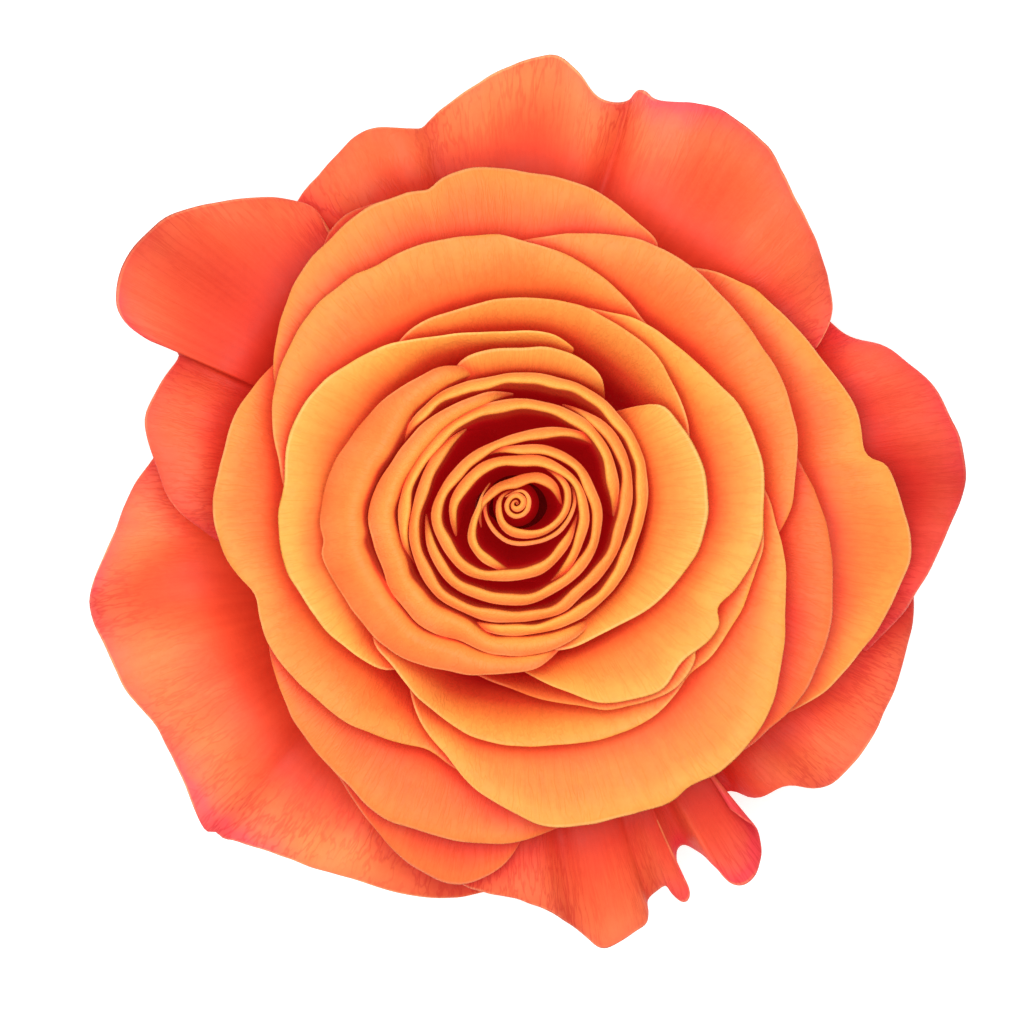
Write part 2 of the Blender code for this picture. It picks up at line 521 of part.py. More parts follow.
def build_calyx(finish):
    """Stub, hip and sepals, grown as one piece."""
    profile = [(STUB_RADIUS, 0.0), (STUB_RADIUS, STUB_HEIGHT), (STUB_RADIUS + 1.0, STUB_HEIGHT + 0.9),
               (HIP_RADIUS - 1.4, HIP_MIDDLE_HEIGHT - 2.6), (HIP_RADIUS, HIP_MIDDLE_HEIGHT),
               (HIP_RADIUS + 0.2, HIP_MIDDLE_HEIGHT + 2.6)]
    # Above the sepals the hip's crown keeps under the feet of the petals, from the guards to the coil
    profile += [(9.2, 12.8), (8.4, 15.0), (7.2, 17.4), (5.6, 19.5), (3.8, 21.0), (2.0, CROWN_HEIGHT - 0.2),
                (0.8, CROWN_HEIGHT)]
    calyx = add_object("calyx", turned_mesh("calyx", profile, CALYX_SIDES), finish)
    sepals = []
    for k in range(SEPAL_COUNT):
        name = "sepal_%d" % (k + 1)
        blade = sheet_mesh(name, sepal_grid(360 * k / SEPAL_COUNT + 20), SEPAL_THICKNESS)
        sepals.append(add_object(name, blade, finish))
    join_into(calyx, sepals)
    return calyx


def build_tuft(finish):
    """Styles and stamens, a small tuft on the hip's crown."""
    column = [(STYLE_COLUMN_RADIUS, TUFT_FOOT_HEIGHT), (STYLE_COLUMN_RADIUS * 0.8, TUFT_FOOT_HEIGHT + 4.0),
              (STYLE_COLUMN_RADIUS * 1.1, TUFT_FOOT_HEIGHT + 5.0), (0.4, TUFT_FOOT_HEIGHT + 5.6)]
    tuft = add_object("stamens_and_styles", turned_mesh("stamens_and_styles", column, 10), finish)
    pieces = []
    for k in range(STAMEN_COUNT):
        angle = 2 * math.pi * k / STAMEN_COUNT
        height = TUFT_HEIGHT * (0.82 if k % 2 else 1.0)
        name = "stamen_%d" % (k + 1)
        profile = [(STAMEN_THICKNESS, TUFT_FOOT_HEIGHT), (STAMEN_THICKNESS, TUFT_FOOT_HEIGHT + height - 0.6),
                   (ANTHER_RADIUS, TUFT_FOOT_HEIGHT + height - 0.2), (0.1, TUFT_FOOT_HEIGHT + height)]
        data = turned_mesh(name, profile, 6)
        for vertex in data.vertices:
            share = (vertex.co.z / MM - TUFT_FOOT_HEIGHT) / TUFT_HEIGHT
            out = (0.75 + (TUFT_RADIUS - 0.75) * share) * MM
            vertex.co.x += out * math.cos(angle)
            vertex.co.y += out * math.sin(angle)
        pieces.append(add_object(name, data, finish))
    join_into(tuft, pieces)
    return tuft


def columns_for(rim):
    """How many columns a petal gets, by how far it reaches round the bloom."""
    ends = np.array(rim, float)
    directions = np.degrees(np.unwrap(np.arctan2(ends[:, 1], ends[:, 0])))
    return max(FEWEST_COLUMNS, round((directions[-1] - directions[0]) / DEGREES_PER_COLUMN))


def build():
    """Clear the scene and make every piece of the bloom."""
    for old in list(bpy.data.objects):
        bpy.data.objects.remove(old)
    inner = material("petal_inner", INNER_COLOUR, PETAL_ROUGHNESS)
    middle = material("petal_middle", MIDDLE_COLOUR, PETAL_ROUGHNESS)
    guard = material("petal_guard", GUARD_COLOUR, PETAL_ROUGHNESS)
    build_calyx(material("calyx_green", CALYX_COLOUR, 0.6))
    build_tuft(material("stamen_yellow", STAMEN_COLOUR, 0.7))
    for name, petal in COIL.items():
        grid = petal_grid(petal["rim"], None, petal["foot"], ROWS, columns_for(petal["rim"]), WOUND_LIP)
        add_object(name, sheet_mesh(name, grid, SHEET), inner)
    for name, petal in OPEN.items():
        grid = petal_grid(petal["rim"], petal["lay"], petal["foot"], ROWS, columns_for(petal["rim"]), 0.0)
        finish = guard if "guard" in name else middle
        add_object(name, sheet_mesh(name, grid, SHEET), finish)


build()
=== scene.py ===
"""One open coral-orange rose bloom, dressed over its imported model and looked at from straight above.

Each petal starts as a flat grid and is bent onto a family of nested shells, like the skins of an onion
that open outwards, so the petals overlap in their layers and stay clear of each other. The plan of each
petal's edge is a list of (x, y) points in millimetres, taken counter-clockwise round the bloom's middle.
"""

import math

import bpy
import numpy as np
from bpy.props import FloatProperty, FloatVectorProperty, IntProperty, PointerProperty
from bpy.types import Operator, Panel, PropertyGroup
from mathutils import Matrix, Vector
from mathutils.bvhtree import BVHTree


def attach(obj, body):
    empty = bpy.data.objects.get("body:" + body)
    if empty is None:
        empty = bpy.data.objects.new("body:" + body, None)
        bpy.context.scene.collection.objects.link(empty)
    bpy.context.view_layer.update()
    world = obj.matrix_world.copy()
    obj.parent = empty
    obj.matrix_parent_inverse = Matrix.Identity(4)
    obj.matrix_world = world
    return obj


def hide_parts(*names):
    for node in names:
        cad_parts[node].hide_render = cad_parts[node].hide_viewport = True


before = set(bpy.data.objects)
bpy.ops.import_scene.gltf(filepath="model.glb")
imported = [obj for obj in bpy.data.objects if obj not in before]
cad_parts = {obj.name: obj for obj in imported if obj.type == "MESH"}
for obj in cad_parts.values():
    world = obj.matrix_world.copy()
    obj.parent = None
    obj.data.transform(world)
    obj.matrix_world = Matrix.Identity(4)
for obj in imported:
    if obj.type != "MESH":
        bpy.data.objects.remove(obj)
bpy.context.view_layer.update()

bl_info = {
    "name": "Open rose bloom",
    "version": (1, 0, 0),
    "blender": (4, 5, 0),
    "location": "3D View > Sidebar > Rose",
    "description": "Petals, calyx and stamens of one open double rose, with its studio",
    "category": "Object",
}

MM = 0.001

# The family of shells. Each row is one shell's profile: its number, the radius and height of its foot,
# the radius and height of its far end, and for the foot and then the end, the lean from upright in
# degrees and how far that lean is held. Lengths are millimetres.
SHELLS = np.array([
    (0.0, 2.4, 22.8, 0.2, 55.0, -2.0, 15.0, -6.0, 12.0),
    (5.0, 3.6, 22.6, 5.0, 57.5, 4.0, 15.0, 1.0, 12.0),
    (10.0, 5.4, 21.6, 10.4, 58.4, 18.0, 15.0, 5.0, 13.0),
    (15.0, 7.2, 19.8, 16.8, 57.8, 44.0, 15.0, 18.0, 13.0),
    (20.0, 8.8, 17.4, 29.0, 54.2, 62.0, 17.0, 74.0, 14.0),
    (25.0, 10.0, 14.8, 43.0, 43.0, 68.0, 17.0, 106.0, 20.0),
    (30.0, 10.8, 12.0, 56.0, 27.0, 72.0, 16.0, 124.0, 24.0),
])

# How slowly a petal opens from its claw to its full width: the power on its opening curve, by its shell
OPENING_SHELLS = (0.0, 8.0, 14.0, 22.0, 26.0)
OPENING_POWERS = (1.6, 1.8, 1.7, 1.6, 1.1)
FULL_WIDTH_AT = 0.92
CLAW_HALF_WIDTH = 1.6

# Waves that all petals share, by their radius, so that they stay nested
WAVE_START_RADIUS = 24.0
BLOOM_RADIUS = 54.0

# Where a petal begins to turn out past the end of its shell, as a share of its height, by its shell
FLARE_SHELLS = (14.0, 17.0, 21.0)
FLARE_STARTS = (0.93, 0.91, 0.86)

# Unevenness of the rims, as (wavelength, weight) pairs, and how far in from the rim a frill reaches
RIPPLE_WAVES = ((9.0, 1.0), (4.3, 0.6), (2.1, 0.35), (1.1, 0.2))
FRILL_WAVES = ((24.0, 1.0), (13.0, 0.55), (7.0, 0.2))
FRILL_REACH = 17.0

# Columns of quads that no petal goes past
MOST_COLUMNS = 120

# Rows crowd towards a petal's rim, where its edge turns
ROW_CROWDING = 1.35

# A wound petal stands up to its ridge, turns over there and slopes down to its rim as a lip
LIP_ROWS = 9
LIP_BEND = 0.22
LIP_SLOPE = 36.0
LIP_SLOPE_SWING = 12.0
LIP_NARROWING = 0.3
LIP_WAVES = ((11.0, 1.0), (5.0, 0.7))
CREST_ROW = 2
NARROWEST_LIP = 0.10
THINNEST_LIP = 0.03
LIP_CLEARANCE = 0.28

# How far in from the rim a guard petal's pink edge fades, in millimetres
PINK_REACH = 3.2

# Both ends of a wound petal's rim dive between its neighbours
DIVE_LENGTH = 5.5
DIVE_SHARE = 0.11
RUN_ON = 2.2

# The share of an open petal's rim, at each end, that dives under its neighbours
OPEN_DIVE_SHARE = 0.07

# A wound petal stays this wide down to its foot, as a share of its full width
WOUND_FOOT_SHARE = 1.0

# The sky that a petal sees: rings of directions, as (angle from upright, how many, weight)
SKY_RINGS = ((15.0, 4, 1.0), (42.0, 6, 1.0), (66.0, 6, 0.8))
SKY_REACH = 30.0

# Stub, hip and crown, as (radius, height) from the cut end to the top, and the sepals
HIP_PROFILE = ((0.0, 0.0), (3.0, 0.0), (3.2, 0.25), (3.2, 2.9), (3.5, 3.4), (4.6, 4.1), (6.6, 5.2), (8.3, 6.7),
               (9.3, 8.5), (9.6, 10.2), (9.5, 11.6), (9.0, 13.2), (8.2, 15.2), (7.0, 17.5), (5.5, 19.5),
               (3.8, 21.0), (2.0, 21.8), (0.0, 22.1))
SEPAL_COUNT = 5
SEPAL_TURN = 20.0
SEPAL_THICKNESS = 0.55
SEPAL_HALF_WIDTH = 4.4
SEPAL_PATH = ((6.6, 9.2), (10.4, 10.2), (14.8, 9.2), (18.6, 6.0), (21.2, 2.8), (23.6, 0.45))

# Colours that come in places only: painted shade on the outer part of a lip, the edges of the guard petals, a
# painted highlight on the thin pale edge of a rim, and the inside of the crown, which begins between these two
# heights in metres
PAINTED_LIP_SHADE = (0.74, 0.105, 0.030)
PINK = (0.86, 0.060, 0.085)
PAINTED_BRINK_HIGHLIGHT = (0.95, 0.42, 0.16)
CROWN = (0.32, 0.012, 0.012)
CROWN_FROM_TO = (0.0165, 0.0190)

# How the finishes of the three groups of petals differ: how far their bright rim reaches and how much painted
# shade the fading away from it adds, in shares of the settings below, and the strengths of their markings, of the
# painted highlight on the thin edge of each rim and of the painted darkening where petals are covered and away
# from the rim
GROUPS = {
    "petal_inner": dict(reach=1.0, fade_shade_weight=0.45, veins=0.3, vein_count=70.0, vein_depth=0.08, patches=0.25,
                        brink_highlight=0.3, gloom_shade=0.0),
    "petal_middle": dict(reach=1.4, fade_shade_weight=0.4, veins=0.4, vein_count=60.0, vein_depth=0.14, patches=0.4,
                         brink_highlight=0.4, gloom_shade=0.10),
    "petal_guard": dict(reach=3.0, fade_shade_weight=0.6, veins=0.7, vein_count=75.0, vein_depth=0.6, patches=1.5,
                        brink_highlight=0.4, gloom_shade=0.55),
}

# The photograph's frame: millimetres a pixel, and the pixel at the bloom's middle
PIXEL = 0.12
CENTRE_PIXEL = (516.5, 504.0)

# Wound petals, from the heart outwards: the direction of the foot, and the plan of the rim
WOUND = {
    "petal_coil_heart": dict(
        foot=155, slope=35, dive=0.03, clear=0.16, thickness=0.2, column_width=0.0004,
        rim=[(0.0, -0.18), (0.28, -0.05), (0.3, 0.28), (-0.05, 0.5), (-0.5, 0.35), (-0.75, -0.1), (-0.65, -0.65),
             (-0.1, -1.0), (0.6, -0.85), (1.05, -0.2), (1.05, 0.6), (0.4, 1.25), (-0.5, 1.25),
             (-1.2, 0.7), (-1.5, -0.1), (-1.35, -1.0), (-0.7, -1.6), (0.3, -1.75), (1.2, -1.3), (1.7, -0.4),
             (1.7, 0.5), (1.2, 1.3), (0.4, 1.7)]),
    "petal_coil_hook": dict(
        foot=252, slope=42, lip=[(0.0, 1.0), (0.5, 1.1), (0.7, 0.7), (1.0, 0.7)],
        rim=[(-1.2, 1.5), (-2.2, 0.8), (-2.6, -0.6), (-2.3, -2.2), (-1.3, -3.5), (0.5, -4.2), (2.6, -4.0),
             (4.6, -3.0), (6.0, -1.5), (6.5, 0.2), (6.6, 1.8), (6.0, 3.0), (4.8, 3.9)]),
    "petal_coil_beak": dict(
        foot=75, lip=1.5,
        rim=[(5.2, 2.0), (4.7, 2.9), (2.8, 3.8), (0.7, 3.5), (-1.1, 2.9), (-3.0, 2.0), (-4.1, 0.7), (-4.8, -0.7)]),
    "petal_coil_rim": dict(
        foot=-35, lip=0.45,
        rim=[(-3.9, -0.3), (-3.8, -1.9), (-2.8, -3.7), (-0.4, -5.0), (2.9, -4.6), (5.6, -3.2),
             (7.3, -0.6), (7.2, 1.3)]),
    "petal_coil_band": dict(
        foot=205, lip=1.2,
        rim=[(-4.4, 0.9), (-4.9, -0.6), (-5.4, -2.0), (-5.8, -3.6), (-5.7, -4.8), (-5.0, -6.2), (-4.0, -7.3),
             (-2.6, -8.0)]),
    "petal_inner_top": dict(
        foot=20,
        rim=[(5.9, -8.6), (8.4, -4.2), (8.8, -1.2), (7.7, 2.5), (4.4, 5.4), (0.4, 5.8),
             (-4.4, 5.0), (-7.9, 0.8), (-8.2, -2.0)]),
    "petal_inner_right": dict(
        foot=-32,
        rim=[(-11.1, -3.3), (-10.1, -7.2), (-7.0, -10.5), (-2.0, -12.2), (3.2, -11.5),
             (8.1, -7.9), (10.1, -3.9), (10.2, -0.2), (8.0, 4.7), (3.0, 7.2), (-2.6, 6.7)]),
    "petal_inner_left": dict(
        foot=160,
        rim=[(8.6, 8.6), (4.2, 9.2), (-0.8, 8.4), (-6.7, 5.2), (-9.9, 0.5), (-9.9, -3.6),
             (-6.8, -8.0), (-2.0, -9.4), (2.8, -8.6), (6.2, -5.5), (7.2, -3.1)]),
    "petal_ring_bottom": dict(
        foot=-110,
        rim=[(-8.0, 8.2), (-11.4, 3.5), (-13.1, -3.7), (-11.9, -8.3), (-9.2, -11.9),
             (-4.4, -14.1), (0.4, -14.5), (5.2, -13.5), (8.0, -11.3), (10.8, -8.3),
             (13.0, -4.3), (14.2, 1.7), (13.4, 6.6), (10.6, 10.3), (7.8, 11.9)]),
    "petal_ring_top": dict(
        foot=110,
        rim=[(12.5, 0.5), (12.1, 4.1), (10.9, 7.5), (7.6, 10.8), (2.8, 12.6), (-2.0, 12.5),
             (-6.8, 10.8), (-11.3, 6.5), (-13.8, 2.4), (-14.5, -2.4), (-13.9, -6.0)]),
    "petal_second_ring": dict(
        foot=20,
        rim=[(-4.8, -15.5), (-0.8, -16.1), (5.0, -15.3), (10.2, -12.3), (13.9, -7.3),
             (16.0, 0.2), (15.6, 5.4), (12.4, 11.2), (7.5, 14.7), (2.8, 16.0), (-3.2, 15.7),
             (-8.8, 13.9), (-12.1, 11.2), (-13.9, 8.6)]),
    "petal_broad_lip": dict(
        foot=215, lip=3.3, slope=20, bend=0.9, clear=0.1, narrowing=0.08, tone=0.15,
        rim=[(-2.5, 14.0), (-5.6, 13.2), (-10.7, 10.4), (-14.8, 6.1), (-17.7, 0.7), (-18.1, -3.1),
             (-16.1, -8.5), (-15.2, -10.9), (-11.6, -15.0), (-7.1, -16.6), (-4.4, -17.8), (-2.0, -18.4),
             (2.8, -18.1), (6.5, -16.8), (8.5, -15.5)]),
    "petal_slit_left": dict(
        foot=180, lip=5.6, slope=27, bend=1.5, clear=0.15, narrowing=0.04, tone=0.1,
        rim=[(-6.5, 17.0), (-10.0, 16.2), (-15.2, 13.3), (-19.7, 8.6), (-22.6, 3.8), (-24.2, -2.3),
             (-23.3, -4.9), (-24.2, -5.4), (-23.0, -8.3), (-19.3, -14.2), (-14.0, -19.0), (-8.0, -20.4),
             (-4.4, -21.0), (2.0, -20.3), (6.0, -17.5)]),
}

# Open petals lie on the shells that their lay names, as (direction round the bloom, shell) pairs
MIDDLE = {
    "petal_bright_right": dict(
        foot=-40, dive=0.12, tone=0.5,
        rim=[(-5.5, -16.2), (-2.0, -17.0), (2.8, -17.5), (6.8, -17.1), (12.5, -14.4), (17.5, -11.3),
             (21.4, -6.4), (23.0, -1.9), (23.1, 1.1), (21.8, 6.2), (18.5, 11.2), (14.8, 13.9)],
        lay=[(-109, 14.9), (-90, 14.9), (-60, 14.9), (-20, 14.9), (10, 15.0), (43, 15.1)]),
    "petal_under_ring": dict(
        foot=85, dive=(0.1, 0.3), dive_share=0.13,
        rim=[(10.9, 12.6), (10.4, 14.8), (8.6, 16.9), (5.8, 18.2), (2.8, 18.8), (-3.5, 18.4), (-7.0, 17.0),
             (-9.6, 14.8)],
        lay=[(49, 15.6), (70, 15.2), (90, 14.9), (123, 14.8)]),
    "petal_upper_left": dict(
        foot=148, tone=0.7,
        rim=[(7.0, 18.5), (3.4, 20.5), (-6.8, 20.3), (-14.8, 19.2), (-19.6, 17.2), (-25.1, 12.8),
             (-27.7, 6.7), (-27.9, 2.0), (-28.7, -1.9), (-27.9, -7.2), (-24.8, -12.7), (-21.2, -16.7),
             (-16.4, -19.7), (-12.5, -19.5)],
        lay=[(69, 16.9), (90, 16.9), (120, 17.8), (180, 17.8), (210, 18.2), (225, 19.3), (240, 19.5)]),
    "petal_pale_arm": dict(
        foot=55,
        rim=[(20.3, 5.0), (20.6, 8.5), (19.6, 12.5), (16.3, 18.2), (11.2, 22.0), (5.2, 24.4),
             (-2.0, 24.5), (-8.0, 23.0), (-12.8, 20.8), (-16.0, 16.5), (-17.0, 13.0)],
        lay=[(14, 17.8), (30, 17.9), (45, 18.3), (90, 18.5), (142, 19.3)]),
    "petal_bright_lower": dict(
        foot=-10, tone=0.5,
        rim=[(-6.0, -16.5), (-1.6, -18.5), (4.0, -21.6), (9.2, -23.6), (12.1, -23.9), (17.6, -22.3),
             (19.6, -19.3), (23.8, -15.7), (24.7, -13.8), (23.8, -12.5), (26.5, -10.0), (29.2, -5.2),
             (29.8, 2.3), (28.9, 7.4), (26.2, 12.5), (20.8, 17.6), (15.7, 21.5), (9.1, 23.4),
             (4.5, 23.0), (2.0, 20.5)],
        lay=[(-110, 17.1), (-60, 17.2), (-20, 17.8), (0, 18.5), (45, 19.4), (85, 19.4)]),
    "petal_thin_strip": dict(
        foot=-92,
        rim=[(-7.0, -19.0), (-3.2, -21.0), (3.4, -23.4), (9.2, -24.4), (12.1, -24.6), (17.8, -22.9),
             (20.8, -20.3), (22.5, -16.5)],
        lay=[(-110, 18.7), (-100, 19.2), (-60, 19.0), (-36, 18.6)]),
    "petal_middle_lower": dict(
        foot=-42, frill=0.2, tone=0.3,
        rim=[(-17.0, -13.0), (-17.2, -16.3), (-14.8, -19.4), (-12.8, -22.0), (-8.0, -26.3), (-2.8, -28.7),
             (1.4, -29.0), (8.2, -28.6), (14.8, -26.6), (19.0, -23.0), (20.8, -20.3), (23.8, -17.8),
             (26.8, -13.0), (28.9, -7.7), (29.7, -3.1), (28.5, 1.5), (25.5, 5.0)],
        lay=[(-143, 18.0), (-135, 18.1), (-120, 18.8), (-105, 20.5), (-90, 20.6), (-40, 20.2), (11, 20.0)]),
    "petal_middle_upper": dict(
        foot=118, frill=0.25,
        rim=[(17.5, 17.5), (15.7, 21.5), (9.1, 28.2), (0.8, 31.7), (-5.6, 32.3), (-13.6, 30.5),
             (-17.0, 28.4), (-20.5, 27.0), (-25.9, 21.6), (-29.0, 14.3), (-29.3, 10.1), (-28.0, 2.5),
             (-26.0, -1.5)],
        lay=[(45, 20.5), (90, 20.4), (150, 20.1), (184, 19.4)]),
    "petal_large_bottom": dict(
        foot=-75, frill=0.25, tone=0.3,
        rim=[(-12.4, -19.0), (-12.8, -22.0), (-11.5, -26.0), (-8.2, -30.5), (-4.4, -34.7), (1.3, -37.9),
             (5.2, -39.0), (11.0, -38.0), (16.3, -36.7), (19.3, -35.4), (19.8, -34.4), (24.1, -32.4),
             (28.9, -27.7), (31.5, -21.5), (32.3, -13.8), (32.2, -6.7), (30.7, -0.7), (29.0, 3.0),
             (26.0, 6.0)],
        lay=[(-124, 20.5), (-105, 21.7), (-60, 21.8), (-20, 21.3), (13, 21.2)]),
    "petal_middle_right": dict(
        foot=40, frill=0.25, tone=-0.3,
        rim=[(27.5, -7.0), (31.6, -3.5), (33.5, 2.6), (33.4, 10.4), (30.8, 17.0), (27.2, 22.1),
             (23.5, 26.3), (17.8, 30.6), (10.4, 32.5), (0.8, 31.7), (-3.0, 29.5), (-5.0, 26.0)],
        lay=[(-15, 22.0), (10, 21.9), (60, 21.7), (100, 21.5)]),
    "petal_tall_upper_left": dict(
        foot=95, frill=0.35, tone=-0.3,
        rim=[(15.0, 28.5), (17.2, 31.3), (12.4, 35.6), (9.1, 38.0), (3.7, 39.5), (-2.0, 40.4),
             (-7.0, 40.2), (-9.9, 38.5), (-10.7, 37.3), (-12.4, 37.6), (-17.6, 35.8), (-22.4, 32.0),
             (-26.8, 26.5), (-28.7, 20.3), (-29.2, 17.8), (-29.0, 14.3), (-27.0, 10.0)],
        lay=[(62, 22.9), (90, 22.7), (120, 22.0), (160, 21.4)]),
    "petal_left": dict(
        foot=200, frill=0.35,
        rim=[(-27.0, 19.0), (-29.2, 16.6), (-32.9, 12.5), (-35.2, 6.5), (-36.5, -1.7), (-34.0, -7.9),
             (-31.3, -10.9), (-31.0, -12.6), (-30.2, -16.1), (-28.4, -19.0), (-23.6, -23.9),
             (-19.7, -26.6), (-15.5, -28.3), (-10.6, -29.4), (-7.0, -32.0), (-3.0, -31.5), (0.0, -28.0)],
        lay=[(145, 22.8), (180, 21.6), (225, 21.2), (240, 22.0), (255, 22.6), (270, 22.7)]),
    "petal_lower_left": dict(
        foot=240, frill=0.35, tone=-0.6,
        rim=[(-29.5, -12.5), (-29.6, -17.6), (-27.8, -23.9), (-24.2, -29.8), (-21.0, -32.9),
             (-17.6, -36.7), (-13.4, -38.8), (-6.5, -40.6), (-1.1, -40.8), (5.0, -39.0), (9.0, -36.5),
             (11.0, -32.0)],
        lay=[(203, 22.8), (225, 22.9), (255, 23.7), (289, 23.8)]),
    "petal_right_upper": dict(
        foot=-20, frill=0.3, tone=-1.3,
        rim=[(22.5, -30.5), (26.8, -29.9), (30.8, -26.8), (34.0, -23.5), (36.1, -19.9), (37.6, -15.4),
             (38.0, -11.5), (38.0, -6.7), (36.4, 0.4), (33.7, 5.4), (31.0, 9.5), (27.5, 12.5)],
        lay=[(-54, 22.9), (-10, 23.2), (24, 23.2)]),
    "petal_right_large": dict(
        foot=10, frill=0.4,
        rim=[(27.0, -26.5), (32.5, -25.2), (36.8, -22.7), (40.0, -19.6), (43.9, -14.3), (46.9, -8.3),
             (47.5, -4.9), (46.6, -0.4), (44.6, 4.6), (43.2, 5.2), (41.9, 5.9), (40.9, 11.3),
             (36.2, 18.2), (29.6, 25.2), (26.8, 26.6), (22.4, 28.3), (17.0, 28.5)],
        lay=[(-44, 24.4), (0, 25.2), (60, 24.2)]),
    "petal_peeping_top": dict(
        foot=125, tone=-1.0,
        rim=[(-9.5, 33.5), (-12.5, 36.6), (-16.6, 36.2), (-19.7, 35.3), (-22.4, 32.8), (-24.0, 28.5)],
        lay=[(105, 23.8), (131, 24.2)]),
    "petal_peeping_bottom": dict(
        foot=258, tone=-1.1,
        rim=[(-25.5, -27.5), (-21.2, -33.1), (-17.5, -38.6), (-13.7, -42.6), (-9.4, -45.4), (-6.0, -45.6),
             (-1.5, -43.5), (1.5, -38.5)],
        lay=[(227, 24.4), (255, 25.2), (273, 25.4)]),
}

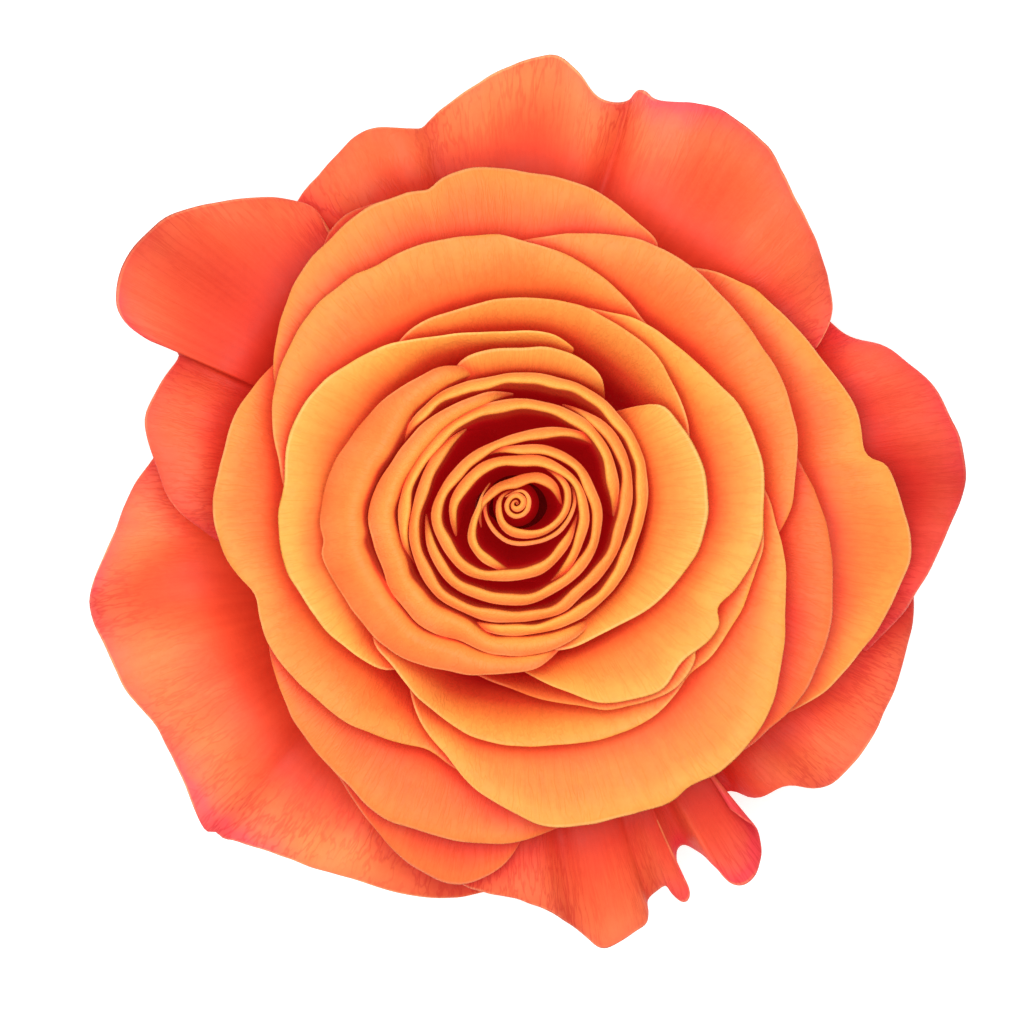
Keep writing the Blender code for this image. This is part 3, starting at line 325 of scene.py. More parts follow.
GUARD = {
    "petal_guard_horn": dict(
        foot=155, frill=0.9, tone=-0.55, pink=[(0.3, 0.2), (0.42, 0.6), (0.52, 1.0), (0.6, 0.5), (1.0, 0.5)],
        creases=[(0.62, 0.05, -1.8, 28.0), (0.34, 0.06, -1.4, 22.0), (0.46, 0.05, 1.4, 14.0),
                 (0.78, 0.06, 1.2, 16.0)],
        rim=[(-22.8, 32.6), (-24.2, 35.6), (-28.0, 36.8), (-32.8, 36.8), (-38.3, 35.9), (-43.1, 34.0),
             (-46.9, 29.8), (-48.4, 25.0), (-47.2, 21.9), (-45.0, 20.2), (-42.6, 19.2), (-40.3, 18.5),
             (-40.7, 17.4), (-42.2, 15.4), (-44.6, 11.3), (-44.2, 7.3), (-41.7, 0.5), (-38.1, -2.9),
             (-35.6, -4.6)],
        lay=[(124, 25.8), (160, 25.8), (188, 25.2)]),
    "petal_guard_bottom": dict(
        foot=-66, frill=0.8, tone=-0.45, column_width=0.0007,
        pink=[(0.0, 0.2), (0.5, 0.2), (0.56, 0.9), (0.68, 1.2), (0.74, 0.6), (1.0, 2.6)],
        creases=[(0.27, 0.035, -1.6, 26.0), (0.38, 0.04, 1.8, 20.0), (0.48, 0.03, -1.2, 16.0),
                 (0.7, 0.03, -1.6, 12.0), (0.77, 0.03, 1.4, 10.0), (0.9, 0.035, -1.6, 16.0)],
        rim=[(-9.3, -42.4), (-8.8, -43.9), (-6.8, -45.5), (-3.9, -46.7), (2.8, -48.4), (7.9, -51.7),
             (10.1, -53.4), (11.6, -53.2), (15.3, -50.9), (15.9, -49.4), (15.8, -47.6), (18.0, -45.9),
             (18.6, -46.9), (20.0, -48.0), (20.9, -47.1), (20.5, -45.8), (19.4, -43.9), (19.3, -41.8),
             (20.1, -40.9), (22.4, -42.2), (24.2, -44.1), (26.0, -45.9), (28.2, -45.3), (29.2, -43.4),
             (29.5, -41.2), (28.8, -38.9), (27.3, -37.8), (25.6, -36.6)],
        lay=[(-103, 26.6), (-53, 26.6)]),
    "petal_guard_top": dict(
        foot=80, frill=1.0, tone=0.2, column_width=0.001,
        pink=[(0.0, 0.6), (0.3, 0.8), (0.36, 1.3), (0.46, 0.5), (0.6, 0.2), (1.0, 0.4)],
        creases=[(0.45, 0.022, -1.9, 28.0), (0.38, 0.04, 1.4, 20.0), (0.52, 0.04, 1.4, 22.0),
                 (0.2, 0.05, 1.2, 18.0), (0.09, 0.04, -1.0, 16.0), (0.74, 0.022, -1.5, 18.0),
                 (0.66, 0.04, 1.2, 20.0)],
        rim=[(36.2, 18.8), (37.9, 22.7), (37.4, 27.8), (35.1, 33.8), (32.2, 39.6), (29.6, 43.8),
             (24.4, 47.5), (17.8, 48.6), (16.5, 48.5), (15.9, 49.6), (14.3, 49.9), (13.6, 48.5), (10.1, 48.8),
             (7.3, 52.1),
             (4.3, 54.2), (-0.8, 52.7), (-6.8, 49.3), (-10.7, 45.8), (-11.5, 44.9), (-12.3, 45.1),
             (-15.8, 45.4), (-19.1, 44.4), (-24.5, 38.9), (-27.6, 34.0), (-27.8, 29.5)],
        lay=[(27, 26.4), (80, 26.6), (133, 27.6)]),
    "petal_guard_right": dict(
        foot=5, frill=0.9, tone=-0.9, pink=[(0.0, 0.5), (0.5, 0.9), (1.0, 0.4)],
        creases=[(0.42, 0.06, -1.5, 20.0), (0.75, 0.06, 1.4, 20.0), (0.2, 0.06, 1.0, 16.0)],
        rim=[(42.0, -17.9), (44.8, -15.0), (47.7, -11.5), (50.8, -5.8), (53.1, -0.4), (54.2, 3.6),
             (53.0, 8.8), (50.6, 13.7), (48.3, 16.1), (44.3, 19.1), (40.4, 20.0), (36.8, 22.5),
             (32.0, 24.0)],
        lay=[(-23, 26.8), (10, 27.4), (37, 28.4)]),
    "petal_guard_lower_right": dict(
        foot=-38, frill=0.8, tone=-0.4, pink=[(0.0, 0.3), (1.0, 0.4)],
        creases=[(0.2, 0.035, -1.4, 18.0), (0.5, 0.06, 1.4, 18.0), (0.38, 0.03, -1.2, 14.0),
                 (0.8, 0.05, -1.0, 16.0)],
        rim=[(16.5, -34.5), (20.3, -36.0), (24.2, -35.0), (26.0, -34.3), (28.6, -35.5), (32.6, -33.8),
             (35.5, -34.3), (37.9, -33.7), (40.3, -31.6), (43.6, -26.6), (46.4, -19.6), (47.8, -13.0),
             (47.3, -8.0), (44.0, -4.0)],
        lay=[(-65, 27.8), (-30, 27.6), (-5, 28.8)]),
    "petal_guard_lower_left": dict(
        foot=222, frill=0.9, tone=0.8,
        pink=[(0.0, 0.5), (0.22, 1.0), (0.4, 0.6), (0.56, 1.6), (0.68, 0.3), (1.0, 0.2)],
        creases=[(0.16, 0.04, 1.6, 24.0), (0.33, 0.035, 1.5, 24.0), (0.25, 0.03, -1.2, 22.0),
                 (0.57, 0.03, -1.5, 28.0), (0.48, 0.03, 1.2, 20.0), (0.72, 0.04, 1.4, 18.0),
                 (0.86, 0.03, -1.2, 14.0)],
        rim=[(-40.5, 9.5), (-43.7, 5.5), (-46.9, 0.5), (-48.7, -4.3), (-51.1, -9.5), (-51.4, -12.4),
             (-49.9, -16.4), (-46.7, -22.8), (-43.1, -27.1), (-40.3, -33.0), (-37.3, -39.7),
             (-36.1, -39.2), (-35.5, -40.4), (-34.0, -40.4), (-24.8, -43.6), (-17.5, -45.8),
             (-10.9, -47.4), (-3.9, -46.7), (0.5, -45.0), (3.0, -41.0)],
        lay=[(167, 28.2), (220, 28.4), (274, 28.4)]),
}

PETALS = {**WOUND, **MIDDLE, **GUARD}


def smooth_through(knots, values, at):
    """Read a smooth curve without overshoot through (knots, values)."""
    step = np.diff(knots)
    slope = np.diff(values) / step
    tangent = np.empty(len(values))
    tangent[0] = slope[0]
    tangent[-1] = slope[-1]
    for i in range(1, len(values) - 1):
        if slope[i - 1] * slope[i] <= 0:
            tangent[i] = 0.0
        else:
            tangent[i] = 2 * slope[i - 1] * slope[i] / (slope[i - 1] + slope[i])
    at = np.clip(at, knots[0], knots[-1])
    i = np.clip(np.searchsorted(knots, at) - 1, 0, len(knots) - 2)
    t = (at - knots[i]) / step[i]
    return ((1 + 2 * t) * (1 - t) ** 2 * values[i] + t * (1 - t) ** 2 * step[i] * tangent[i]
            + t * t * (3 - 2 * t) * values[i + 1] + t * t * (t - 1) * step[i] * tangent[i + 1])


def shell_point(shell, t):
    """Radius and height on a shell's profile, a cubic Bezier curve; t runs from its foot (0) to its end (1)."""
    foot_r, foot_z, end_r, end_z, foot_lean, foot_hold, end_lean, end_hold = (
        smooth_through(SHELLS[:, 0], SHELLS[:, k], shell) for k in range(1, 9))
    foot_lean = np.radians(foot_lean)
    end_lean = np.radians(end_lean)
    weights = ((1 - t) ** 3, 3 * t * (1 - t) ** 2, 3 * t * t * (1 - t), t ** 3)
    radii = (foot_r, foot_r + foot_hold * np.sin(foot_lean), end_r - end_hold * np.sin(end_lean), end_r)
    heights = (foot_z, foot_z + foot_hold * np.cos(foot_lean), end_z - end_hold * np.cos(end_lean), end_z)
    radius = sum(weight * value for weight, value in zip(weights, radii))
    height = sum(weight * value for weight, value in zip(weights, heights))
    return radius, height


def curve_through(points, samples):
    """Evenly spaced samples of a smooth curve through the points of a rim."""
    points = np.array(points, float)
    ends = np.vstack([2 * points[0] - points[1], points, 2 * points[-1] - points[-2]])
    fine = []
    for i in range(1, len(ends) - 2):
        before, start, finish, after = ends[i - 1:i + 3]
        for s in np.linspace(0, 1, 16, endpoint=False):
            fine.append(0.5 * (2 * start + (finish - before) * s
                               + (2 * before - 5 * start + 4 * finish - after) * s ** 2
                               + (3 * start - before - 3 * finish + after) * s ** 3))
    fine = np.array(fine + [points[-1]])
    length = np.concatenate([[0], np.cumsum(np.hypot(*np.diff(fine, axis=0).T))])
    wanted = np.linspace(0, length[-1], samples)
    return np.column_stack([np.interp(wanted, length, fine[:, k]) for k in (0, 1)])


def rim_length(rim):
    """Length of a petal's rim in plan."""
    return float(np.sum(np.hypot(*np.diff(curve_through(rim, 200), axis=0).T)))


def run_on(rim, by):
    """A wound petal's rim with both ends carried on round the bloom, so that they can dive out of sight."""
    points = [np.array(point, float) for point in rim]

    def beyond(before, end):
        radius = math.hypot(*end)
        growth = (radius - math.hypot(*before)) / math.dist(before, end)
        step = math.copysign(by / radius, before[0] * end[1] - before[1] * end[0])
        direction = math.atan2(end[1], end[0]) + step
        radius += 0.5 * growth * by
        return np.array((radius * math.cos(direction), radius * math.sin(direction)))

    return [beyond(points[1], points[0]), *points, beyond(points[-2], points[-1])]


def directions_of(points):
    """Directions round the bloom in degrees, running on past a full turn."""
    return np.degrees(np.unwrap(np.arctan2(points[:, 1], points[:, 0])))


def steady_directions(directions):
    """Directions for the inner part of a petal, which run on steadily where the rim turns back."""
    rising = np.maximum.accumulate(directions)
    falling = np.minimum.accumulate(directions[::-1])[::-1]
    steady = (rising + falling) / 2
    for _ in range(max(3, len(steady) // 12)):
        steady[1:-1] = (steady[:-2] + 2 * steady[1:-1] + steady[2:]) / 4
    return steady


def shared_wave(direction, radius, height):
    """Height of the waves that all petals share, so that they stay nested."""
    share = np.clip((radius - WAVE_START_RADIUS) / (BLOOM_RADIUS - WAVE_START_RADIUS), 0, None)
    angle = np.radians(direction)
    outer = height * share ** 1.5 * (np.sin(7 * angle + 0.6) + 0.6 * np.sin(11 * angle + radius / 9))
    return outer


def ripple(along, length, seed, waves):
    """A gentle random wave along a rim of that length, about one unit high, the same for the same seed."""
    chance = np.random.default_rng(seed)
    value = np.zeros(along.shape)
    for wavelength, weight in waves:
        turns = length / wavelength * chance.uniform(0.85, 1.15)
        value += weight * np.sin(2 * math.pi * (turns * along + chance.uniform()))
    return value / 1.3


def room_inside(name, directions, radii):
    """How far it is from a rim in to the next wound rim inside it, by direction."""
    room = np.full(directions.shape, 9.0)
    for other, petal in WOUND.items():
        points = curve_through(petal["rim"], 160)
        other_directions = directions_of(points)
        other_radii = np.hypot(points[:, 0], points[:, 1])
        steady = steady_directions(other_directions)
        for turn in (-720, -360, 0, 360, 720):
            if other == name and turn == 0:
                continue
            at = directions + turn
            inside = (at >= steady[0]) & (at <= steady[-1])
            gap = radii - np.interp(at, steady, other_radii)
            room = np.where(inside & (gap > 0.2), np.minimum(room, gap), room)
    return room


def lip_profile(along, width, slope, bend):
    """How far out and up from its ridge a lip is: a turn, then a slope down to its edge."""
    tilt = np.radians(slope)
    bend = np.minimum(bend, width / (1 + np.sin(tilt)))
    arc = bend * (math.pi / 2 + tilt)
    straight = np.maximum(width - bend * (1 + np.sin(tilt)), 0) / np.cos(tilt)
    travelled = along * (arc + straight)
    angle = np.minimum(travelled, arc) / np.maximum(bend, 1e-6)
    rest = np.maximum(travelled - arc, 0)
    return bend * (1 - np.cos(angle)) + rest * np.cos(tilt), bend * np.sin(angle) - rest * np.sin(tilt)


def lip_widths(name, petal, directions, radii, look):
    """Width of a wound petal's lip along its rim: as much as fits."""
    along = np.linspace(0, 1, len(radii))
    widest = petal.get("lip", look.lip_width / MM)
    if isinstance(widest, list):
        widest = np.interp(along, [row[0] for row in widest], [row[1] for row in widest])
    room = room_inside(name, directions, radii)
    width = np.clip(room - petal.get("clear", LIP_CLEARANCE), NARROWEST_LIP, widest)
    width = np.minimum(width, 0.8 * radii)
    for _ in range(4):
        width[1:-1] = (width[:-2] + 2 * width[1:-1] + width[2:]) / 4
    return width


def petal_points(name, petal, look, columns):
    """Points of a petal's middle surface in millimetres, rows from its foot to its rim."""
    lay = petal.get("lay")
    rim = petal["rim"] if lay else run_on(petal["rim"], petal.get("run_on", RUN_ON))
    outline = curve_through(rim, columns + 1)
    rim_radius = np.hypot(outline[:, 0], outline[:, 1])
    rim_direction = directions_of(outline)
    steady = steady_directions(rim_direction)
    middle = (steady[0] + steady[-1]) / 2
    half_angle = (steady[-1] - steady[0]) / 2
    foot = petal["foot"] + 360 * round((middle - petal["foot"]) / 360)
    if lay:
        lip = np.zeros(columns + 1)
    else:
        lip = lip_widths(name, petal, rim_direction, rim_radius, look)
        length = rim_length(rim)
        swing = ripple(np.linspace(0, 1, columns + 1), length, list(PETALS).index(name), LIP_WAVES)
        lip = lip * (1 - petal.get("narrowing", LIP_NARROWING) * np.clip(0.5 + 0.5 * swing, 0, 1))
        slope = petal.get("slope", LIP_SLOPE) + LIP_SLOPE_SWING * np.clip(swing, -1, 1)
        to_end = length * (0.5 - np.abs(np.linspace(-0.5, 0.5, columns + 1)))
        near_end = 1 - np.clip(to_end / min(DIVE_LENGTH, 0.3 * length), 0, 1)
        lip = np.maximum(lip * (1 - near_end ** 2), THINNEST_LIP)
    ridge = rim_radius - lip

    def shell_at(direction):
        if lay:
            turned = direction - 360 * round((middle - (lay[0][0] + lay[-1][0]) / 2) / 360)
            knots = np.array([row[0] for row in lay], float)
            return smooth_through(knots, np.array([row[1] for row in lay], float), turned)
        return np.interp(np.interp(direction, steady, ridge), SHELLS[:, 3], SHELLS[:, 0])

    rim_shell = shell_at(steady)
    top = np.ones(columns + 1)
    beyond = np.zeros(columns + 1)
    if lay:
        from_end = 0.5 - np.abs(np.linspace(-0.5, 0.5, columns + 1))
        dive = 1 - np.clip(from_end / petal.get("dive_share", OPEN_DIVE_SHARE), 0, 1)
        start_dive, end_dive = np.broadcast_to(petal.get("dive", 0.0), 2)
        reach = np.linspace(0, 1, 200)
        for k in range(columns + 1):
            radii, _ = shell_point(np.full(reach.shape, rim_shell[k]), reach)
            top[k] = np.interp(rim_radius[k], np.maximum.accumulate(radii), reach)
            beyond[k] = max(0.0, rim_radius[k] - radii[-1]) * (1 - dive[k] ** 2)
        top -= np.interp(np.linspace(0, 1, columns + 1), (0.49, 0.51), (start_dive, end_dive)) * dive ** 2
    else:
        top -= petal.get("dive", DIVE_SHARE) * near_end ** 2
    end_lean = smooth_through(SHELLS[:, 0], SHELLS[:, 7], rim_shell)
    droop = np.minimum(0.0, 1 / np.tan(np.radians(np.maximum(end_lean, 5.0))))
    slowness = np.interp(float(np.mean(rim_shell)), OPENING_SHELLS, OPENING_POWERS)
    flare_from = np.interp(float(np.mean(rim_shell)), FLARE_SHELLS, FLARE_STARTS)
    foot_radius = float(shell_point(shell_at(np.array([foot])), 0.0)[0][0])
    claw_share = min(1.0, math.degrees(CLAW_HALF_WIDTH / foot_radius) / half_angle)
    if not lay:
        claw_share = WOUND_FOOT_SHARE
    lip_rows = 0 if lay else LIP_ROWS
    grid = np.empty((look.rows + lip_rows + 1, columns + 1, 3))
    for j in range(look.rows + lip_rows + 1):
        v = 1 - (1 - min(j, look.rows) / look.rows) ** ROW_CROWDING
        opening = math.sin(math.pi / 2 * min(v / FULL_WIDTH_AT, 1.0)) ** slowness
        share = claw_share + (1 - claw_share) * opening
        turn = np.clip((v - 0.7) / 0.3, 0, 1) ** 2
        centre = foot + (middle - foot) * opening
        direction = centre + (steady - middle) * share + (rim_direction - steady) * turn
        radius, height = shell_point(shell_at(direction), v * top)
        flare = 1 - np.cos(math.pi / 2 * np.clip((v - flare_from) / (1 - flare_from), 0, 1))
        radius = radius + beyond * flare
        height = height + beyond * droop * flare + shared_wave(direction, radius, look.wave_height / MM)
        if j > look.rows:
            out, up = lip_profile((j - look.rows) / lip_rows, lip, slope, petal.get("bend", LIP_BEND))
            radius = radius + out
            height = height + up
        grid[j, :, 0] = radius * np.cos(np.radians(direction))
        grid[j, :, 1] = radius * np.sin(np.radians(direction))
        grid[j, :, 2] = height
    return grid


def distance_from_rim(grid):
    """How far each point is from the rim, along its own column."""
    steps = np.linalg.norm(np.diff(grid, axis=0), axis=2)
    along = np.vstack([np.zeros(grid.shape[1]), np.cumsum(steps, axis=0)])
    return along[-1] - along


def upper_normals(grid):
    """Unit normals on the face that looks up and to the bloom's middle."""
    across = np.gradient(grid, axis=1)
    along = np.gradient(grid, axis=0)
    normals = np.cross(along, across)
    return normals / np.maximum(np.linalg.norm(normals, axis=2, keepdims=True), 1e-9)


def crease_heights(petal, from_rim):
    """How far a petal's creases lift its surface, or sink it, at each point."""
    along = np.linspace(0, 1, from_rim.shape[1])
    heights = np.zeros(from_rim.shape)
    for place, width, rise, reach in petal.get("creases", ()):
        heights += rise * np.exp(-((along - place) / width) ** 2) * np.clip(1 - from_rim / reach, 0, 1) ** 1.5
    return heights


def finish_rim(grid, petal, look, seed):
    """Ripple a petal's rim and roll its last edge back a little."""
    columns = grid.shape[1] - 1
    length = rim_length(petal["rim"])
    along = np.linspace(0, 1, columns + 1)
    from_rim = distance_from_rim(grid)
    outwards = grid[-1] - grid[-2]
    outwards /= np.maximum(np.linalg.norm(outwards, axis=1, keepdims=True), 1e-6)
    near = np.clip(1 - from_rim / 3.0, 0, 1)[..., None] ** 2
    uneven = petal.get("uneven", look.edge_ripple / MM) * ripple(along, length, seed, RIPPLE_WAVES)
    grid = grid + near * outwards[None] * uneven[None, :, None]
    normals = upper_normals(grid)
    if petal.get("lay"):
        roll = look.edge_roll / MM * np.clip(1 - from_rim / 1.4, 0, 1) ** 2
        grid = grid - normals * roll[..., None]
    frill = petal.get("frill", 0.0)
    if frill:
        rise = (frill * np.clip(1 - from_rim / FRILL_REACH, 0, 1) ** 1.3
                * ripple(along, length, seed + 1, FRILL_WAVES)[None])
        grid[..., 2] += rise
    grid[..., 2] += crease_heights(petal, from_rim)
    return grid


def columns_of(petal, look):
    """How many columns of quads a petal gets."""
    width = petal.get("column_width", look.column_width if "lay" in petal else 0.8 * look.column_width)
    return int(np.clip(rim_length(petal["rim"]) * MM / width, 20, MOST_COLUMNS))


def petal_surface(name, look):
    """A petal's middle surface with its rim rippled and rolled back."""
    petal = PETALS[name]
    grid = petal_points(name, petal, look, columns_of(petal, look))
    return finish_rim(grid, petal, look, 100 + list(PETALS).index(name))


def bloom_tree(look):
    """A search tree of all the petals' surfaces, to find what covers them."""
    points = []
    quads = []
    for name in PETALS:
        grid = petal_surface(name, look)[:, ::2]
        rows, columns = grid.shape[:2]
        start = len(points)
        points += [tuple(point) for point in grid.reshape(-1, 3)]
        for j in range(rows - 1):
            for k in range(columns - 1):
                corner = start + j * columns + k
                quads.append((corner, corner + 1, corner + columns + 1, corner + columns))
    return BVHTree.FromPolygons(points, quads)


def every_other(count):
    """Every other index of a row of points, with its last."""
    return np.unique([*range(0, count, 2), count - 1])


def shelter(grid, tree):
    """The share of the sky that is hidden from each point, from 0 in the open to 1 deep in a fold."""
    rows, columns = grid.shape[:2]
    some_rows, some_columns = every_other(rows), every_other(columns)
    starts = grid + 0.3 * upper_normals(grid) + np.array((0.0, 0.0, 0.2))
    starts = starts[np.ix_(some_rows, some_columns)]
    hidden = np.zeros(starts.shape[:2])
    total = 0.0
    for ring, (lean, count, weight) in enumerate(SKY_RINGS):
        lean = math.radians(lean)
        for k in range(count):
            turn = 2 * math.pi * (k + 0.5 * (ring % 2)) / count
            towards = Vector((math.sin(lean) * math.cos(turn), math.sin(lean) * math.sin(turn), math.cos(lean)))
            share = weight * math.cos(lean)
            total += share
            blocked = [tree.ray_cast(point, towards, SKY_REACH)[0] is not None
                       for point in starts.reshape(-1, 3)]
            hidden += share * np.reshape(blocked, hidden.shape)
    hidden /= total
    wide = np.array([np.interp(np.arange(columns), some_columns, line) for line in hidden])
    full = np.array([np.interp(np.arange(rows), some_rows, line) for line in wide.T]).T
    for _ in range(2):
        full[1:-1] = (full[:-2] + 2 * full[1:-1] + full[2:]) / 4
        full[:, 1:-1] = (full[:, :-2] + 2 * full[:, 1:-1] + full[:, 2:]) / 4
    return full


def start_clean():
    """Leave nothing selected, so that an operator acts only on what is made next."""
    if bpy.context.mode != "OBJECT":
        bpy.ops.object.mode_set(mode="OBJECT")
    bpy.ops.object.select_all(action="DESELECT")


def bend_grid(name, grid, values):
    """Add a flat grid primitive, bend it onto the points of a surface and note values at its points."""
    rows, columns = grid.shape[0] - 1, grid.shape[1] - 1
    start_clean()
    bpy.ops.mesh.primitive_grid_add(x_subdivisions=columns, y_subdivisions=rows, size=1, calc_uvs=True)
    piece = bpy.context.active_object
    piece.name = name
    mesh = piece.data
    mesh.name = name
    flat = np.empty(len(mesh.vertices) * 3)
    mesh.vertices.foreach_get("co", flat)
    flat = flat.reshape(-1, 3)
    # The columns run against x, so that the primitive's upper side becomes the petal's face
    k = np.rint((0.5 - flat[:, 0]) * columns).astype(int)
    j = np.rint((flat[:, 1] + 0.5) * rows).astype(int)
    mesh.vertices.foreach_set("co", (grid[j, k] * MM).ravel())
    for key, value in values.items():
        layer = mesh.attributes.new(key, "FLOAT", "POINT")
        layer.data.foreach_set("value", value[j, k])
    mesh.update()
    return piece


def apply_modifier(piece, kind, **settings):
    """Add a modifier with its settings and apply it."""
    start_clean()
    bpy.context.view_layer.objects.active = piece
    piece.select_set(True)
    modifier = piece.modifiers.new(kind.lower(), kind)
    for key, value in settings.items():
        setattr(modifier, key, value)
    bpy.ops.object.modifier_apply(modifier=modifier.name)


def dress(piece, nodes):
    """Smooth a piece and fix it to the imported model."""
    piece.data.shade_smooth()
    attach(piece, "root")
    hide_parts(*nodes)


def finish_values(name, grid, look, tree):
    """What a petal's finish reads at each point of its surface."""
    petal = PETALS[name]
    rows, columns = grid.shape[:2]
    from_rim = distance_from_rim(grid)
    chance = np.random.default_rng(list(PETALS).index(name))
    tone = petal.get("tone", chance.uniform(-0.4, 0.4))
    shares, amounts = np.transpose(petal.get("pink", [(0.0, 0.0), (1.0, 0.0)]))
    pink = np.interp(np.linspace(0, 1, columns), shares, amounts) * np.exp(-from_rim / PINK_REACH)
    lip = np.clip((np.arange(rows) - look.rows) / LIP_ROWS, 0, 1)
    # How far a wound petal's wall lies below its lip's crest; the finish deepens it there as painted shade
    below = np.zeros(from_rim.shape) if "lay" in petal else from_rim - from_rim[look.rows + CREST_ROW]
    # The hidden sky drives the finish's painted shade and glow, the crease heights its painted light and shade
    return {"from_rim": from_rim, "shelter": shelter(grid, tree), "tone": np.full(from_rim.shape, tone),
            "relief": crease_heights(petal, from_rim), "pink": pink, "lip": np.repeat(lip[:, None], columns, axis=1), "below": below}


def make_petal(name, look, tree, finishes):
    """Bend, thicken and round one petal."""
    grid = petal_surface(name, look)
    piece = bend_grid(name + "_soft", grid, finish_values(name, grid, look, tree))
    for finish in finishes:
        piece.data.materials.append(finish)
    thickness = PETALS[name].get("thickness", look.thickness / MM) * MM
    apply_modifier(piece, "SOLIDIFY", thickness=thickness, offset=0.0, material_offset=1,
                   material_offset_rim=0)
    apply_modifier(piece, "SUBSURF", levels=1, render_levels=1)
    dress(piece, [name])
    return piece


class Socket:
    """A shader socket that grows Math nodes under Python's own operators."""

    def __init__(self, tree, socket):
        self.tree = tree
        self.socket = socket

    def math(self, operation, *values, clamp=False):
        node = self.tree.add("ShaderNodeMath", settings={"operation": operation, "use_clamp": clamp},
                             inputs=dict(enumerate(values)))
        return Socket(self.tree, node.outputs[0])

    def __add__(self, other):
        return self.math("ADD", self, other)

    def __radd__(self, other):
        return self.math("ADD", other, self)

    def __sub__(self, other):
        return self.math("SUBTRACT", self, other)

    def __rsub__(self, other):
        return self.math("SUBTRACT", other, self)

    def __mul__(self, other):
        return self.math("MULTIPLY", self, other)

    def __rmul__(self, other):
        return self.math("MULTIPLY", other, self)

    def __truediv__(self, other):
        return self.math("DIVIDE", self, other)

    def __pow__(self, other):
        return self.math("POWER", self, other)

    def clamped(self):
        return self.math("ADD", self, 0.0, clamp=True)

    def size(self):
        """The value without its sign."""
        return self.math("ABSOLUTE", self)

    def smooth(self, low, high):
        """0 below low, 1 above high, and a smooth step between."""
        node = self.tree.add("ShaderNodeMapRange", settings={"interpolation_type": "SMOOTHSTEP"},
                             inputs={"Value": self, "From Min": low, "From Max": high})
        return Socket(self.tree, node.outputs[0])


class Tree:
    """A material's node tree, built from expressions."""

    def __init__(self, name):
        self.material = bpy.data.materials.new(name)
        self.material.use_nodes = True
        self.nodes = self.material.node_tree.nodes
        self.links = self.material.node_tree.links
        self.shader = self.nodes["Principled BSDF"]

    def add(self, kind, settings=None, inputs=None):
        """Any node: its type, its settings, then the values or links of its sockets."""
        node = self.nodes.new(kind)
        for key, value in (settings or {}).items():
            if key == "stops":
                while len(node.color_ramp.elements) < len(value):
                    node.color_ramp.elements.new(0.5)
                for element, (position, colour) in zip(node.color_ramp.elements, value):
                    element.position = position
                    element.color = (*colour, 1.0)
            else:
                setattr(node, key, value)
        for key, value in (inputs or {}).items():
            self.put(node.inputs[key], value)
        return node

    def put(self, target, value):
        """Link a socket, or set its value."""
        if isinstance(value, Socket):
            self.links.new(value.socket, target)
        elif isinstance(value, (tuple, list)) and len(value) == 3 and len(target.default_value) == 4:
            target.default_value = (*value, 1.0)
        else:
            target.default_value = value

    def out(self, node, output=0):
        return Socket(self, node.outputs[output])

    def mix(self, amount, first, second, blend="MIX"):
        """Mix two colours."""
        node = self.add("ShaderNodeMix", settings={"data_type": "RGBA", "blend_type": blend},
                        inputs={0: amount, 6: first, 7: second})
        return self.out(node, 2)

    def scaled(self, vector, factors):
        """A vector times three factors."""
        node = self.add("ShaderNodeVectorMath", settings={"operation": "MULTIPLY"},
                        inputs={0: vector, 1: factors})
        return self.out(node)

    def noise(self, vector, scale, detail=2.0, roughness=0.5):
        """A noise value round 0.5."""
        node = self.add("ShaderNodeTexNoise", inputs={"Vector": vector, "Scale": scale, "Detail": detail,
                                                      "Roughness": roughness})
        return self.out(node)

    def object_point(self):
        return self.out(self.add("ShaderNodeTexCoord"), "Object")

    def petal_uv(self):
        return self.out(self.add("ShaderNodeUVMap", settings={"uv_map": "UVMap"}))

    def attribute(self, name):
        return self.out(self.add("ShaderNodeAttribute", settings={"attribute_name": name}), "Fac")

    def bumps(self, height, strength, distance):
        """A bump from a height, for the shader's Normal."""
        node = self.add("ShaderNodeBump", inputs={"Strength": strength, "Distance": distance, "Height": height})
        return self.out(node)

    def surface(self, **sockets):
        for key, value in sockets.items():
            self.put(self.shader.inputs[key.replace("_", " ")], value)
        return self.material


